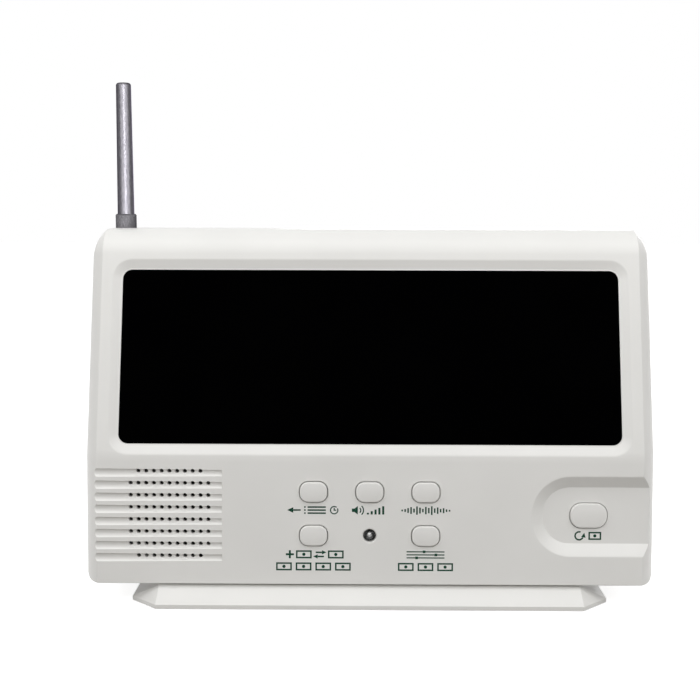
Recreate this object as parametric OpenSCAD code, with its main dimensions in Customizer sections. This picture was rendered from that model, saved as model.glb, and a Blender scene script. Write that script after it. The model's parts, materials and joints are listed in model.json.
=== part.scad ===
// Wireless nurse-call monitor: a desk console with a wide display window, call keys,
// a speaker grille, a stub antenna, a screw-on stand and a battery bay in the back.
// Millimetres. +X to the viewer's right, +Y to the back, +Z up.
// The origin is on the table, under the middle of the stand.

/* [Housing] */
// Overall width of the housing
body_w = 234.8; // [228:0.2:246]
// Height of the housing from its underside to its top
body_h = 143.2; // [142:0.2:150]
// How far the front lower edge stands ahead of the stand's middle
front_reach = 39.6; // [38:0.2:42]
// How far the rear face stands behind the stand's middle
rear_reach = 22.4; // [22:0.2:26]
// Wall thickness of both shells
wall = 2.5; // [2.2:0.1:3]
// Height of the lower control panel
panel_h = 52.4; // [52:0.2:56]
// Backward lean of the control panel, in degrees
panel_lean = 3.7; // [2:0.1:6]
// Backward lean of the display face, in degrees
face_lean = 14.9; // [13:0.1:16]
// Rounding from the display face into the top
top_r = 13.2; // [13:0.1:16]
// Soft bend between the control panel and the display face
crease_r = 25; // [15:1:40]
// Radius of the rolled side edges
side_r = 17; // [15:0.5:20]
// How far in from the side the rolled edge meets the front in a crisp line
side_run = 6.3; // [4.5:0.1:6.8]
// Rounding of the bottom and rear edges
edge_r = 4; // [3.2:0.1:6]
// Where the front and rear shells part, behind the stand's middle
parting_y = 2.5; // [1.5:0.1:2.6]

/* [Display] */
// Distance of the clear opening from each side of the housing
window_inset = 14.8; // [14:0.1:19]
// Height of the clear opening
window_h = 72.2; // [70:0.2:73]
// Height of the opening's lower edge above the bend
window_lift = 5; // [5:0.1:6.5]
// Corner radius of the opening
window_r = 4; // [2:0.2:8]
// Width of the shallow bevel at the sides of the opening, with its lip
bevel_x = 3.8; // [2:0.1:5]
// Width of the shallow bevel above the opening, with its lip
bevel_top = 4.1; // [3:0.1:4.9]
// Width of the shallow bevel below the opening, with its lip
bevel_low = 4.6; // [3:0.1:4.9]
// Width of the flat lip between the bevel and the opening
bevel_lip = 0.5; // [0.2:0.1:1]
// Depth of that bevel
bevel_depth = 1.4; // [0.8:0.1:1.8]
// Thickness of the lens flange
lens_t = 1.6; // [1.2:0.1:2]
// How far the lens flange reaches behind the opening's edge
lens_lap = 2.4; // [1.5:0.1:2.8]
// Gap round the raised part of the lens
lens_gap = 0.15; // [0.1:0.05:0.4]
// Thickness of the lens gasket
gasket_t = 0.4; // [0.3:0.1:0.8]
// Number of display digits
digit_count = 4; // [2:1:4]
// Distance of the outer digit blocks from the ends of the opening
digit_inset = 6.55; // [3:0.05:10]
// Height of one digit block
digit_h = 69.7; // [60:0.2:70]
// Depth of one digit block
digit_t = 11; // [9:0.5:12]
// Thickness of every circuit board
board_t = 1.6; // [1.2:0.1:2]

/* [Keys] */
// Width of a small key
key_w = 11.1; // [10:0.1:14]
// Height of a small key
key_h = 8.1; // [8:0.1:11]
// Width of the reset key
reset_w = 15; // [14:0.1:19]
// Height of the reset key
reset_h = 10.1; // [10:0.1:13]
// Corner radius of the small keys
key_r = 3.4; // [2:0.1:3.9]
// Corner radius of the reset key
reset_r = 4.5; // [2:0.1:4.9]
// How far the keys stand out of their surface
key_proud = 1; // [0.6:0.1:1.5]
// Gap round a key in its opening
key_gap = 0.3; // [0.3:0.05:0.6]
// Sideways spacing of the small keys
key_pitch = 22.8; // [20:0.1:26]
// Height of the upper key row on the panel
key_row_high = 38; // [36:0.2:38.6]
// Height of the lower key row on the panel
key_row_low = 20.1; // [19:0.2:22]
// Height of the reset key on the panel
reset_row = 28.3; // [26:0.2:31]
// Distance of the reset key from the right side
reset_inset = 28.1; // [26:0.1:30]
// Travel of every key
key_travel = 0.5; // [0.3:0.05:0.6]
// Depth of the key board behind the panel
key_board_depth = 14; // [13:0.5:16]

/* [Reset scoop] */
// Height of the scoop at the panel
scoop_h = 32.7; // [30:0.1:35]
// Distance of the scoop's round end from the right side
scoop_inset = 51.7; // [49:0.1:54]
// Corner radius of the scoop's round end
scoop_r = 15.8; // [10:0.1:16]
// Width of the scoop's sloping wall
scoop_run = 4.8; // [3.5:0.1:5.5]
// Depth of the scoop's floor
scoop_depth = 3; // [2:0.1:3.6]

/* [Indicator lamp] */
// Diameter of the lamp
led_d = 5; // [3:0.5:5]
// Length of the lamp from its flange to its tip
led_h = 8; // [7:0.2:9]

/* [Speaker grille] */
// Number of grooves
groove_count = 8; // [5:1:8]
// Spacing of the grooves
groove_pitch = 4.96; // [4.4:0.02:5]
// Width of a groove at the side of the housing
groove_w = 3.6; // [2:0.1:3.7]
// Width of a groove at its inner end
groove_tip_w = 2.6; // [1.6:0.1:3]
// Depth of a groove at the side of the housing
groove_depth = 0.9; // [0.7:0.1:1.3]
// Depth of a groove at its inner end
groove_tip_depth = 0.6; // [0.3:0.05:0.7]
// How far the middle of a groove lies below its sound holes
groove_drop = 0.8; // [0.4:0.1:1]
// Height of the lowest row of sound holes on the panel
groove_low = 11.65; // [11.5:0.05:12.5]
// Distance of the grooves' inner ends from the left side
groove_reach = 57.4; // [55:0.1:60]
// Diameter of a sound hole
sound_d = 1.7; // [1.2:0.1:2.2]
// Spacing of the sound holes
sound_pitch = 3.16; // [2.8:0.02:3.4]
// Number of sound holes in the long rows
sound_long = 11; // [7:2:11]
// Number of sound holes in the first and last rows
sound_short = 9; // [5:2:9]
// Distance of the speaker's middle from the left side
speaker_inset = 36; // [34:0.2:37]
// Diameter of the speaker frame
speaker_d = 40; // [36:0.5:41]
// Diameter of the speaker magnet
magnet_d = 22; // [16:0.5:24]
// Length of the speaker magnet
magnet_h = 7; // [5:0.5:9]

/* [Antenna] */
// Distance of the antenna from the left side
antenna_inset = 11.1; // [10.4:0.1:14]
// Distance of the antenna behind the stand's middle
antenna_y = 12.6; // [11.5:0.1:13]
// Length of the tapered sleeve above its collar
whip_h = 56; // [40:1:120]
// Diameter of the sleeve at the collar
whip_d = 7.2; // [6:0.1:8.5]
// Diameter of the sleeve at the tip
whip_tip_d = 6.4; // [5:0.1:7]
// Diameter of the collar
collar_d = 9; // [8.6:0.1:10]
// Height of the collar
collar_h = 6; // [5:0.1:8]
// Diameter of the antenna's threaded stud
stud_d = 5; // [4:0.1:5.2]

/* [Stand] */
// Width of the stand across its tips
stand_w = 195.6; // [185:0.2:205]
// Depth of the stand
stand_d = 90; // [86:0.5:100]
// Height of the stand plate
stand_h = 8; // [7.4:0.1:9]
// Shadow gap between the stand's edge and the housing
seam = 0.8; // [0.5:0.1:1.2]
// Width that the cut corners take off the front edge at each end
corner_x = 11.2; // [8:0.1:14]
// Depth that the cut corners take off the side edges at each end
corner_y = 11.1; // [8:0.1:14]
// Height of the upright rim
rim_h = 1.7; // [1.5:0.1:2.6]
// Run of the front and rear slopes
slope_y = 7.1; // [5:0.1:9]
// Run of the side slopes
slope_x = 11.8; // [8:0.1:12]
// Thickness of the stand's skin
stand_wall = 2.2; // [1.8:0.1:2.6]
// Diameter of a rubber foot
foot_d = 12; // [9:0.5:14]
// How far the feet stand below the stand
foot_proud = 0.4; // [0.4:0.1:1.2]

/* [Back] */
// Diameter of a battery cell
cell_d = 14.2; // [14:0.1:14.5]
// Length of a battery cell with its nub
cell_l = 50.5; // [49.5:0.1:50.8]
// Number of battery cells
cell_count = 4; // [2:2:4]
// Distance of the battery bay's middle from the right side
bay_inset = 65.4; // [57:0.2:66]
// Height of the battery bay's lowest inside edge above the housing's underside
bay_low = 22; // [21:0.2:24]
// Thickness of the battery door
door_t = 2.6; // [2.4:0.1:2.8]
// Radius of the door's hinge bead
bead_r = 1.8; // [1.6:0.1:2]
// Radius of the door's hinge pins
hinge_pin_r = 1; // [0.8:0.05:1.1]
// Distance between the two wall-mount keyholes
keyhole_span = 120; // [110:0.5:126]
// Height of the keyholes' round ends above the housing's underside
keyhole_up = 107; // [106:0.5:110]
// Radius of a keyhole's round end
keyhole_r = 4.5; // [4:0.1:4.8]
// Width of a keyhole's slot
keyhole_slot = 4.6; // [4:0.1:5]
// Distance of the power inlet from the left side
jack_inset = 47.4; // [41:0.1:53]
// Height of the power inlet above the housing's underside
jack_up = 16; // [14:0.5:18]
// Radius of the power inlet's threaded barrel
jack_r = 4; // [3.8:0.1:4.4]

/* [Fixings] */
// Diameter of the case and stand screws
screw_d = 2.9; // [2.5:0.1:3.1]
// Diameter of the small board and clip screws
small_screw_d = 2.1; // [1.8:0.1:2.3]
// Clearance round a screw or pin that passes through a piece
pass_gap = 0.3; // [0.2:0.05:0.4]
// Diameter of the tubes that the case screws bite into
post_d = 7; // [6:0.1:7.4]
// Length of the case screws
case_screw_l = 15; // [13:0.5:18]

/* [Hidden] */
$fn = 48;
fit_gap = 0.05;
slide_gap = 0.2;
cut_over = 1;
thin = 0.01;
base_z = foot_proud + stand_h + seam;
top_z = base_z + body_h;
half_w = body_w / 2;
side_angle = acos(1 - side_run / side_r);
side_depth = side_r * sin(side_angle);
side_steps = 6;
crease_z = base_z + panel_h;
crease_y = -front_reach + panel_h * tan(panel_lean);
crease_cut = crease_r * tan((face_lean - panel_lean) / 2);
crease_centre = [
    crease_y - crease_cut * sin(panel_lean) + crease_r * cos(panel_lean),
    crease_z - crease_cut * cos(panel_lean) - crease_r * sin(panel_lean)
];
top_centre_z = top_z - top_r;
top_centre = [
    crease_y + (top_r + (top_centre_z - crease_z) * sin(face_lean)) / cos(face_lean),
    top_centre_z
];

window_w = body_w - 2 * window_inset;
window_mid = window_lift + window_h / 2;
lens_depth = wall + gasket_t;
lens_set_back = 0.2;
digit_space = 0.6;
digit_gap = 0.3;
digit_w = (window_w - 2 * digit_inset - (digit_count - 1) * digit_gap) / digit_count;
digit_depth = lens_depth + lens_t + digit_space;
display_board_depth = digit_depth + digit_t;
display_board_over = 1;
display_board_w = window_w + 2 * display_board_over;
board_post_d = 5;
display_post_out = window_h / 2 + lens_lap + board_post_d / 2 + pass_gap;
display_post_up = window_mid + display_post_out;
display_post_down = window_mid - display_post_out;
display_board_h = 2 * display_post_out + board_post_d;
display_post_x = window_w / 3;
display_posts = [for (sx = [-1, 1], s = [display_post_down, display_post_up]) [sx * display_post_x, s]];

plunger_over = 0.4;
plunger_down = 5;
plunger_top = key_board_depth - plunger_down;
switch_floor = 0.6;
switch_bottom = key_board_depth - switch_floor;
switch_size = 6;
switch_h = 3.5;
plunger_d = 3.4;
flange_lap = 1.2;
flange_t = 1;
flange_gap = 0.2;
key_soft = 0.6;
key_stem_over = 0.4;
key_stem_r = plunger_d / 2 + key_stem_over;
reset_x = half_w - reset_inset;
key_board_inset = 13;
key_board_past = 27;
key_board_under = 9.5;
key_board_over = 5;
key_board_right = half_w - key_board_inset;
key_board_left = -key_pitch - key_board_past;
key_board_low = key_row_low - key_board_under;
key_board_high = key_row_high + key_board_over;
key_post_in = 4.5;
key_post_past = 21;
reset_post_left = 17;
reset_post_right = 10;
key_post_x = [key_pitch + key_post_past, reset_x - reset_post_left];
key_posts = concat(
    [[key_board_left + key_post_in, (key_row_high + key_row_low) / 2]],
    [for (x = key_post_x, v = [key_board_low + key_post_in, key_board_high - key_post_in]) [x, v]],
    [[reset_x + reset_post_right, key_board_low + key_post_in]]
);
small_post_d = 6;
scoop_skin = 2.2;
led_gap = 0.1;
led_sink = 0.4;
led_sink_over = 0.9;
led_sink_r = led_d / 2 + led_sink_over;
led_tip = 0.25;
led_flange = 0.4;
led_flange_t = 1;
led_leg_x = 1.27;
led_leg_r = 0.4;

grille_x = -half_w + speaker_inset;
groove_high = groove_low + (groove_count - 1) * groove_pitch;
speaker_v = (groove_low + groove_high) / 2;
// Radius of a round groove of a given width and depth
function groove_round(w, deep) = (w * w / 4 + deep * deep) / (2 * deep);
groove_r = groove_round(groove_w, groove_depth);
groove_tip_r = groove_round(groove_tip_w, groove_tip_depth);
speaker_pad = 0.5;
speaker_front = wall + speaker_pad;
speaker_rim_t = 3;
speaker_rim_w = 3;
basket_over = 1;
basket_d = magnet_d + basket_over;
basket_l = 10;
basket_back = speaker_front + basket_l;
basket_t = 1;
clip_out = 5;
clip_r = speaker_d / 2 + clip_out;
clip_angles = [35, 145, 215, 325];
clip_t = 1;
clip_w = 6;
clip_in = 7;
clip_l = 10;
ring_t = 1.2;
ring_arc_w = 21;
ledge = 1.5;
paper_t = 0.6;
cone_deep = 5;
coil_r = 5;

post_inset = 8;
post_up = 7.8;
post_share = 0.77;
mid_post_up = 5.6;
mid_post_down = 6.4;
post_x = half_w - post_inset;
post_low = base_z + post_up;
post_high = base_z + body_h * post_share;
case_posts = [
    [-post_x, post_low], [post_x, post_low], [-post_x, post_high], [post_x, post_high],
    [0, base_z + mid_post_up], [0, top_z - mid_post_down]
];
rear_post_over = 1.1;
rear_post_d = post_d + 2 * rear_post_over;
screw_r = screw_d / 2;
head_over = 1.35;
head_r = screw_r + head_over;
head_h = 2.2;
small_r = small_screw_d / 2;
small_head_over = 1.2;
small_head_r = small_r + small_head_over;
small_head_h = 1.6;
key_screw_l = 7;
clip_screw_l = 4;
board_screw_l = 8;
pilot_over = 0.6;
case_seat = 6;
case_seat_y = parting_y + case_seat;
sink_gap = 0.4;
sink_r = head_r + sink_gap;
tab_w = 30;
tab_x = body_w / 4;
tab_reach = 2.5;
tab_t = 1.2;
tab_gap = 0.15;
tab_root = 4;
tab_bite = 0.5;

antenna_x = -half_w + antenna_inset;
antenna_pad = 3.2;
antenna_pad_over = 4;
antenna_pad_r = stud_d / 2 + antenna_pad_over;
stud_gap = 0.1;
collar_cap = 2;
collar_soft = 0.5;
tip_soft = 1.2;
tip_solid = 7;
stud_tail = 3;
nut_h = 3;
nut_over = 2.1;
nut_r = stud_d / 2 + nut_over;
core_r = 1;
stud_low = top_z - wall - antenna_pad - nut_h - stud_tail;
stud_high = top_z + collar_h - collar_cap;
whip_low = top_z + collar_h;
whip_high = whip_low + whip_h;
core_high = whip_high - tip_solid;

stand_low = foot_proud;
stand_top = stand_low + stand_h;
stand_screw_inset = 59.4;
stand_screw_x = half_w - stand_screw_inset;
stand_screw_front = 13;
stand_screw_back = 9;
stand_screw_y = [-front_reach + stand_screw_front, parting_y - stand_screw_back];
stand_screws = [for (sx = [-1, 1], y = stand_screw_y) [sx * stand_screw_x, y]];
stand_boss_r = 5;
// Which side, which end, and whether on the front or rear edge
stand_corners = [
    [1, 1, 0], [1, 1, 1], [-1, 1, 1], [-1, 1, 0], [-1, -1, 0], [-1, -1, 1], [1, -1, 1], [1, -1, 0]
];
stand_post_h = 6;
stand_screw_l = 10;
stand_seat_down = 5;
stand_seat = base_z - stand_seat_down;
foot_in_x = 18;
foot_in_y = 13;
feet = [for (sx = [-1, 1], sy = [-1, 1]) [sx * (stand_w / 2 - foot_in_x), sy * (stand_d / 2 - foot_in_y)]];
foot_sink = 1.2;
foot_ring = 1.4;
foot_soft = 0.4;
plateau_in = 5;

rear_in = rear_reach - wall;
cell_gap = 1;
cell_pitch = cell_d + cell_gap;
cell_side = 0.4;
cell_nub = 1.3;
cell_nub_r = 2.7;
contact_t = 0.6;
contact_in = 3;
spring_l = 6.3;
bay_x = half_w - bay_inset;
bay_in_w = cell_l + spring_l + 2 * contact_t;
bay_in_h = cell_count * cell_pitch + 2 * cell_side;
bay_low_z = base_z + bay_low;
bay_mid_z = bay_low_z + bay_in_h / 2;
bay_skin = 1.6;
door_in = rear_reach - door_t;
cell_rest = 0.35;
cell_free = 0.55;
bay_floor = door_in - cell_d - cell_rest - cell_free;
cell_y = bay_floor + cell_rest + cell_d / 2;
door_gap = 0.3;
door_over = 3;
door_w = bay_in_w + 2 * door_over;
bead_y = rear_reach - bead_r;
bead_z = bay_low_z + bay_in_h + bead_r + bay_skin;
door_drop = 9.7;
door_screw_drop = 5.2;
door_low = bay_low_z - door_drop;
door_screw_z = bay_low_z - door_screw_drop;
door_ledge = door_in - 2 * fit_gap;
flange_in = 3.4;
flange_skirt = 4;
flange_drop = 3;
flange_rise = 3;
door_boss_r = 4;
door_boss_l = 8;
door_bore_l = 7;
door_screw_gap = 0.45;
pin_reach = 2;
hinge_gap = 0.25;
door_screw_sink = 1.5;
door_screw_tip = 5.4;

keyhole_z = base_z + keyhole_up;
keyhole_rise = 9;
cup_depth = 5.5;
cup_skin = 1.5;

jack_x = -half_w + jack_inset;
jack_z = base_z + jack_up;
jack_flange_over = 1.5;
jack_flange_r = jack_r + jack_flange_over;
jack_flange_t = 1.2;
jack_in = 12;
jack_bore_r = 2.8;
jack_bore_l = 9;
jack_pin_r = 1;
jack_pin_back = 1;
jack_nut_w = 2;
jack_nut_h = 2.5;

board_space = 3;
board_y = parting_y + board_space;
board_back = board_y + board_t;
board_inset = 25;
board_clear = 11;
board_up = 49;
board_tall = 76;
board_post_in = 5;
board_left = -half_w + board_inset;
board_right = bay_x - bay_in_w / 2 - board_clear;
board_low = base_z + board_up;
board_high = board_low + board_tall;
board_posts = [
    for (x = [board_left + board_post_in, board_right - board_post_in])
        for (z = [board_low + board_post_in, board_high - board_post_in]) [x, z]
];
can_size = [24, 3.6, 18];
can_in = 16;
can_down = 20;
can_at = [board_left + can_in, board_back, board_high - can_down];
plug_size = [8, 5, 4];
header_size = [14, 3, 4];
processor_size = [14, 1.6, 14];
processor_up = 27;
chip_size = [10, 1.8, 4.4];
chip_pitch = 14;
chip_up = 16;
capacitor_r = 4;
capacitor_h = 10;
capacitor_pitch = 10;
row_start = 26;

display_plug_in = 30;
display_plug_up = 36;
display_plug = [board_left + display_plug_in, board_y, board_low + display_plug_up];
key_plug_in = 60;
key_plug_up = 6;
key_plug = [board_left + key_plug_in, board_y, board_low + key_plug_up];
speaker_plug_in = 14;
speaker_plug_up = 14;
speaker_plug = [board_left + speaker_plug_in, board_back, board_low + speaker_plug_up];
power_plug_in = 36;
power_plug = [board_left + power_plug_in, board_back, board_low + key_plug_up];
battery_plug_up = 30;
battery_plug = [board_right - plug_size[0] / 2, board_back, board_low + battery_plug_up];
ribbon_w = 12;
ribbon_t = 0.6;
display_ease = 3;
key_ease = 8;
key_socket_v = key_board_high - header_size[2];

wire_up = [0.31, 0.83, 0.46];
lead_r = 0.6;
lead_steps = 12;
lead_space = 1.5;
antenna_lead_drop = 14;
antenna_lead_run = 12;
speaker_lead_out = 22;
speaker_lead_rise = 34;
power_lead_out = 6;
power_lead_rise = 24;
battery_lead_ease = 3;
battery_lead_space = 1.2;
lead_pair = [[-lead_space, 0, 0], [lead_space, 0, 0]];

contact_face = bay_in_w / 2 - contact_t;
tail_w = 3;
tail_out = 2;
tail_gap = 0.15;
tail_y = bay_floor + tail_w;
tail_places = [for (z = [-1, 1]) bay_mid_z + z * (bay_in_h / 2 - cell_pitch / 2 - cell_side)];

// Names, panel places, widths, heights and surface depths of the keys
keys = [
    ["review", -key_pitch, key_row_high, key_w, key_h, 0, key_r],
    ["volume", 0, key_row_high, key_w, key_h, 0, key_r],
    ["tone", key_pitch, key_row_high, key_w, key_h, 0, key_r],
    ["add", -key_pitch, key_row_low, key_w, key_h, 0, key_r],
    ["program", key_pitch, key_row_low, key_w, key_h, 0, key_r],
    ["reset", reset_x, reset_row, reset_w, reset_h, scoop_depth, reset_r]
];
function key_named(name) = [for (k = keys) if (k[0] == name) k][0];

// A point on the control panel: sideways, up the panel, and in through it
function panel_point(x, v, w) = [
    x,
    -front_reach + v * sin(panel_lean) + w * cos(panel_lean),
    base_z + v * cos(panel_lean) - w * sin(panel_lean)
];
// A point on the display face: sideways, up the face from the bend, and in through it
function face_point(x, s, w) = [
    x,
    crease_y + s * sin(face_lean) + w * cos(face_lean),
    crease_z + s * cos(face_lean) - w * sin(face_lean)
];
module on_panel() translate([0, -front_reach, base_z]) rotate([-panel_lean, 0, 0]) children();
module on_face() translate([0, crease_y, crease_z]) rotate([-face_lean, 0, 0]) children();

// A flat outline, drawn sideways and up, given depth between two distances in
module sheet(from, to) translate([0, to, 0]) rotate([90, 0, 0]) linear_extrude(to - from) children();
// A rod that runs inwards, between two distances in
module rod(x, v, from, to, r) translate([x, from, v]) rotate([-90, 0, 0]) cylinder(r = r, h = to - from);
module bar_x(y, z, from, to, r) translate([from, y, z]) rotate([0, 90, 0]) cylinder(r = r, h = to - from);
// A solid turned about a line that runs inwards; the outline is radius and depth
module turned_in(x, v) translate([x, 0, v]) rotate([-90, 0, 0]) rotate_extrude() children();
module round_rect(w, h, r) {
    square([w - 2 * r, h], center = true);
    square([w, h - 2 * r], center = true);
    for (sx = [-1, 1], sy = [-1, 1]) translate([sx * (w / 2 - r), sy * (h / 2 - r)]) circle(r);
}
function arc(centre, r, from, to, steps) = [
    for (i = [0:steps]) let (a = from + (to - from) * i / steps) centre + r * [cos(a), sin(a)]
];

// Side outline of the housing, drawn in by inset at the front and top, and by tuck behind and below
function body_outline(inset, tuck, rear_r) = concat(
    [[-front_reach + (inset + tuck * sin(panel_lean)) / cos(panel_lean), base_z + tuck]],
    arc(crease_centre, crease_r - inset, 180 - panel_lean, 180 - face_lean, 4),
    arc(top_centre, top_r - inset, 180 - face_lean, 90, 12),
    arc([rear_reach - tuck - rear_r, top_z - inset - rear_r], rear_r, 90, 0, 5),
    [[rear_reach - tuck, base_z + tuck]]
);
// One slice of the housing, from side to side; wider slices are drawn in further
module body_slice(angle, skin) {
    r = side_r - skin;
    half = half_w - side_r + r * cos(angle);
    corner = edge_r - skin;
    past = max(0, half - (half_w - skin - corner));
    tuck = skin + corner - sqrt(max(0, corner * corner - past * past));
    rotate([90, 0, 90]) linear_extrude(2 * half, center = true)
        polygon(body_outline(side_depth - r * sin(angle), tuck, corner));
}
module housing_solid(skin) {
    last = asin((side_depth - skin) / (side_r - skin));
    hull() for (i = [0:side_steps]) body_slice(last * i / side_steps, skin);
}
module ahead_of_parting() {
    translate([-body_w, -stand_d, 0]) cube([2 * body_w, stand_d + parting_y, 2 * top_z]);
}
module behind_parting() {
    translate([-body_w, parting_y, 0]) cube([2 * body_w, stand_d, 2 * top_z]);
}

// Scoop round the reset key, open to the right side; grow thickens it into its own backing
module scoop(grow, top) {
    right = half_w + scoop_r + 2 * scoop_run;
    left = half_w - scoop_inset - grow;
    tall = scoop_h + 2 * grow;
    deep = scoop_depth + grow;
    rise = top / scoop_depth * scoop_run;
    hull() {
        scoop_slice(left - rise, right, tall + 2 * rise, scoop_r + grow + rise, -top);
        scoop_slice(left + scoop_run, right, tall - 2 * scoop_run, scoop_r + grow - scoop_run, deep);
    }
}
module scoop_slice(left, right, tall, r, w) {
    translate([(left + right) / 2, w, reset_row]) rotate([90, 0, 0])
        linear_extrude(thin) round_rect(right - left, tall, r);
}

module window_outline(grow) round_rect(window_w + 2 * grow, window_h + 2 * grow, window_r + grow);
module window_bevel() {
    over = 1 + cut_over / bevel_depth;
    side = (bevel_x - bevel_lip) * over + bevel_lip;
    high = (bevel_top - bevel_lip) * over + bevel_lip;
    low = (bevel_low - bevel_lip) * over + bevel_lip;
    hull() {
        translate([0, bevel_depth, window_mid]) rotate([90, 0, 0])
            linear_extrude(thin) window_outline(bevel_lip, $fn = 32);
        translate([0, -cut_over, window_mid + (high - low) / 2]) rotate([90, 0, 0]) linear_extrude(thin)
            round_rect(window_w + 2 * side, window_h + high + low, window_r + side, $fn = 32);
    }
}

// A groove runs in from the side of the housing and gets narrower and shallower towards its inner end
module groove(v) {
    from = [-half_w - cut_over, groove_depth - groove_r, v - groove_drop];
    to = [-half_w + groove_reach, groove_tip_depth - groove_tip_r, v - groove_drop];
    run = to - from;
    translate(from) rotate([0, acos(run[2] / norm(run)), atan2(run[1], run[0])])
        cylinder(r1 = groove_r, r2 = groove_tip_r, h = norm(run));
}
module sound_row(v, count) {
    for (i = [0:count - 1])
        rod(grille_x + (i - (count - 1) / 2) * sound_pitch, v, 0, wall + cut_over, sound_d / 2);
}
module grille_cut() {
    for (i = [0:groove_count - 1]) {
        v = groove_low + i * groove_pitch;
        groove(v);
        sound_row(v, i == 0 || i == groove_count - 1 ? sound_short : sound_long);
    }
}
module clip_places() for (a = clip_angles) translate([grille_x, 0, speaker_v]) rotate([0, -a, 0]) children();

// Four arcs that centre the speaker and leave the sound holes near the corners open
module speaker_ring() {
    outer = speaker_d / 2 + pass_gap + ring_t;
    intersection() {
        difference() {
            rod(grille_x, speaker_v, 0, speaker_front + speaker_rim_t / 2, outer);
            rod(grille_x, speaker_v, -cut_over, speaker_front + speaker_rim_t, speaker_d / 2 + pass_gap);
        }
        translate([grille_x, 0, speaker_v]) sheet(0, speaker_front + speaker_rim_t) {
            square([2 * outer, ring_arc_w], center = true);
            square([ring_arc_w, 2 * outer], center = true);
        }
    }
}
// Everything that stands inside the front shell
module front_fittings() {
    for (p = case_posts) rod(p[0], p[1], -front_reach - cut_over, parting_y + cut_over, post_d / 2);
    for (p = stand_screws) translate([p[0], p[1], base_z]) cylinder(d = post_d, h = wall + stand_post_h);
    on_panel() {
        for (p = key_posts) rod(p[0], p[1], 0, key_board_depth, small_post_d / 2);
        scoop(scoop_skin, 0);
        clip_places() rod(clip_r, 0, 0, speaker_front + speaker_rim_t, board_post_d / 2);
        speaker_ring();
    }
    on_face() for (p = display_posts) rod(p[0], p[1], 0, display_board_depth, board_post_d / 2);
}
// Tongues that run into the rear shell and line the two up
module aligning_tabs() {
    for (sx = [-1, 1]) translate([sx * tab_x - tab_w / 2, parting_y, 0]) {
        for (z = [base_z + wall + tab_gap, top_z - wall - tab_gap - tab_t])
            translate([0, -tab_root, z]) cube([tab_w, tab_root + tab_reach, tab_t]);
        for (z = [base_z + wall - tab_bite, top_z - wall + tab_bite - tab_t])
            translate([0, -tab_root, z]) cube([tab_w, tab_root - tab_bite, tab_t]);
    }
}
// Hole for a small screw that bites into a post
module pilot(at, top, deep) {
    rod(at[0], at[1], top - deep - pilot_over, top + cut_over, small_r + fit_gap);
}
module front_housing() {
    color("gainsboro") difference() {
        union() {
            intersection() {
                difference() {
                    housing_solid(0);
                    difference() {
                        housing_solid(wall);
                        front_fittings();
                    }
                }
                ahead_of_parting();
            }
            aligning_tabs();
        }
        on_face() {
            window_bevel();
            translate([0, 0, window_mid]) sheet(0, wall + cut_over) window_outline(0);
            for (p = display_posts) pilot(p, display_board_depth, board_screw_l - board_t);
        }
        on_panel() {
            grille_cut();
            scoop(0, cut_over);
            for (k = keys) translate([k[1], 0, k[2]])
                sheet(-cut_over, k[5] + wall + cut_over)
                    round_rect(k[3] + 2 * key_gap, k[4] + 2 * key_gap, k[6] + key_gap);
            rod(0, key_row_low, -cut_over, wall + cut_over, led_d / 2 + led_gap);
            turned_in(0, key_row_low) polygon([
                [0, -led_sink], [led_sink_r, -led_sink], [led_d / 2 + led_gap, led_sink], [0, led_sink]
            ]);
            for (p = key_posts) pilot(p, key_board_depth, key_screw_l - board_t);
            clip_places() rod(clip_r, 0, wall, speaker_front + speaker_rim_t + cut_over, small_r + fit_gap);
        }
        for (p = case_posts)
            rod(p[0], p[1], case_seat_y - case_screw_l - cut_over, parting_y + cut_over, screw_r + fit_gap);
        for (p = stand_screws) translate([p[0], p[1], base_z - cut_over])
            cylinder(r = screw_r + fit_gap, h = stand_seat + stand_screw_l - base_z + pilot_over + cut_over);
    }
}

// Everything that stands inside the rear shell
module rear_fittings() {
    for (p = case_posts) rod(p[0], p[1], parting_y - cut_over, rear_reach, rear_post_d / 2);
    for (p = board_posts) rod(p[0], p[1], board_back, rear_reach, small_post_d / 2);
    translate([antenna_x, antenna_y, top_z - wall - antenna_pad])
        cylinder(r = antenna_pad_r, h = wall + antenna_pad);
    translate([bay_x - bay_in_w / 2 - bay_skin, bay_floor - bay_skin, bay_low_z - bay_skin])
        cube([bay_in_w + 2 * bay_skin, rear_reach, bay_in_h + 2 * bay_skin]);
    translate([bay_x - door_w / 2 - flange_skirt, door_in - flange_in, door_low - flange_drop])
        cube([door_w + 2 * flange_skirt, rear_reach, bead_z + bead_r + flange_rise + flange_drop - door_low]);
    rod(bay_x, door_screw_z, door_in - door_boss_l, rear_reach, door_boss_r);
    for (sx = [-1, 1]) translate([sx * keyhole_span / 2, 0, keyhole_z])
        sheet(rear_in - cup_depth - cup_skin, rear_reach) keyhole_cup(cup_skin);
}
module keyhole_cup(grow) {
    low = keyhole_r + 1;
    translate([-low - grow, -low - grow]) square([2 * (low + grow), keyhole_rise + 2 * low + 2 * grow]);
}
module keyhole() {
    circle(keyhole_r);
    translate([-keyhole_slot / 2, 0]) square([keyhole_slot, keyhole_rise]);
    translate([0, keyhole_rise]) circle(d = keyhole_slot);
}
// Solder tail of an end contact, through the bay's inner wall; grow makes its slot
module contact_tail(z, grow) {
    left = bay_x - bay_in_w / 2 - bay_skin - tail_out;
    translate([left, tail_y - contact_t / 2 - grow, z - tail_w / 2 - grow])
        cube([bay_skin + tail_out + contact_t, contact_t + 2 * grow, tail_w + 2 * grow]);
}
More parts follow.
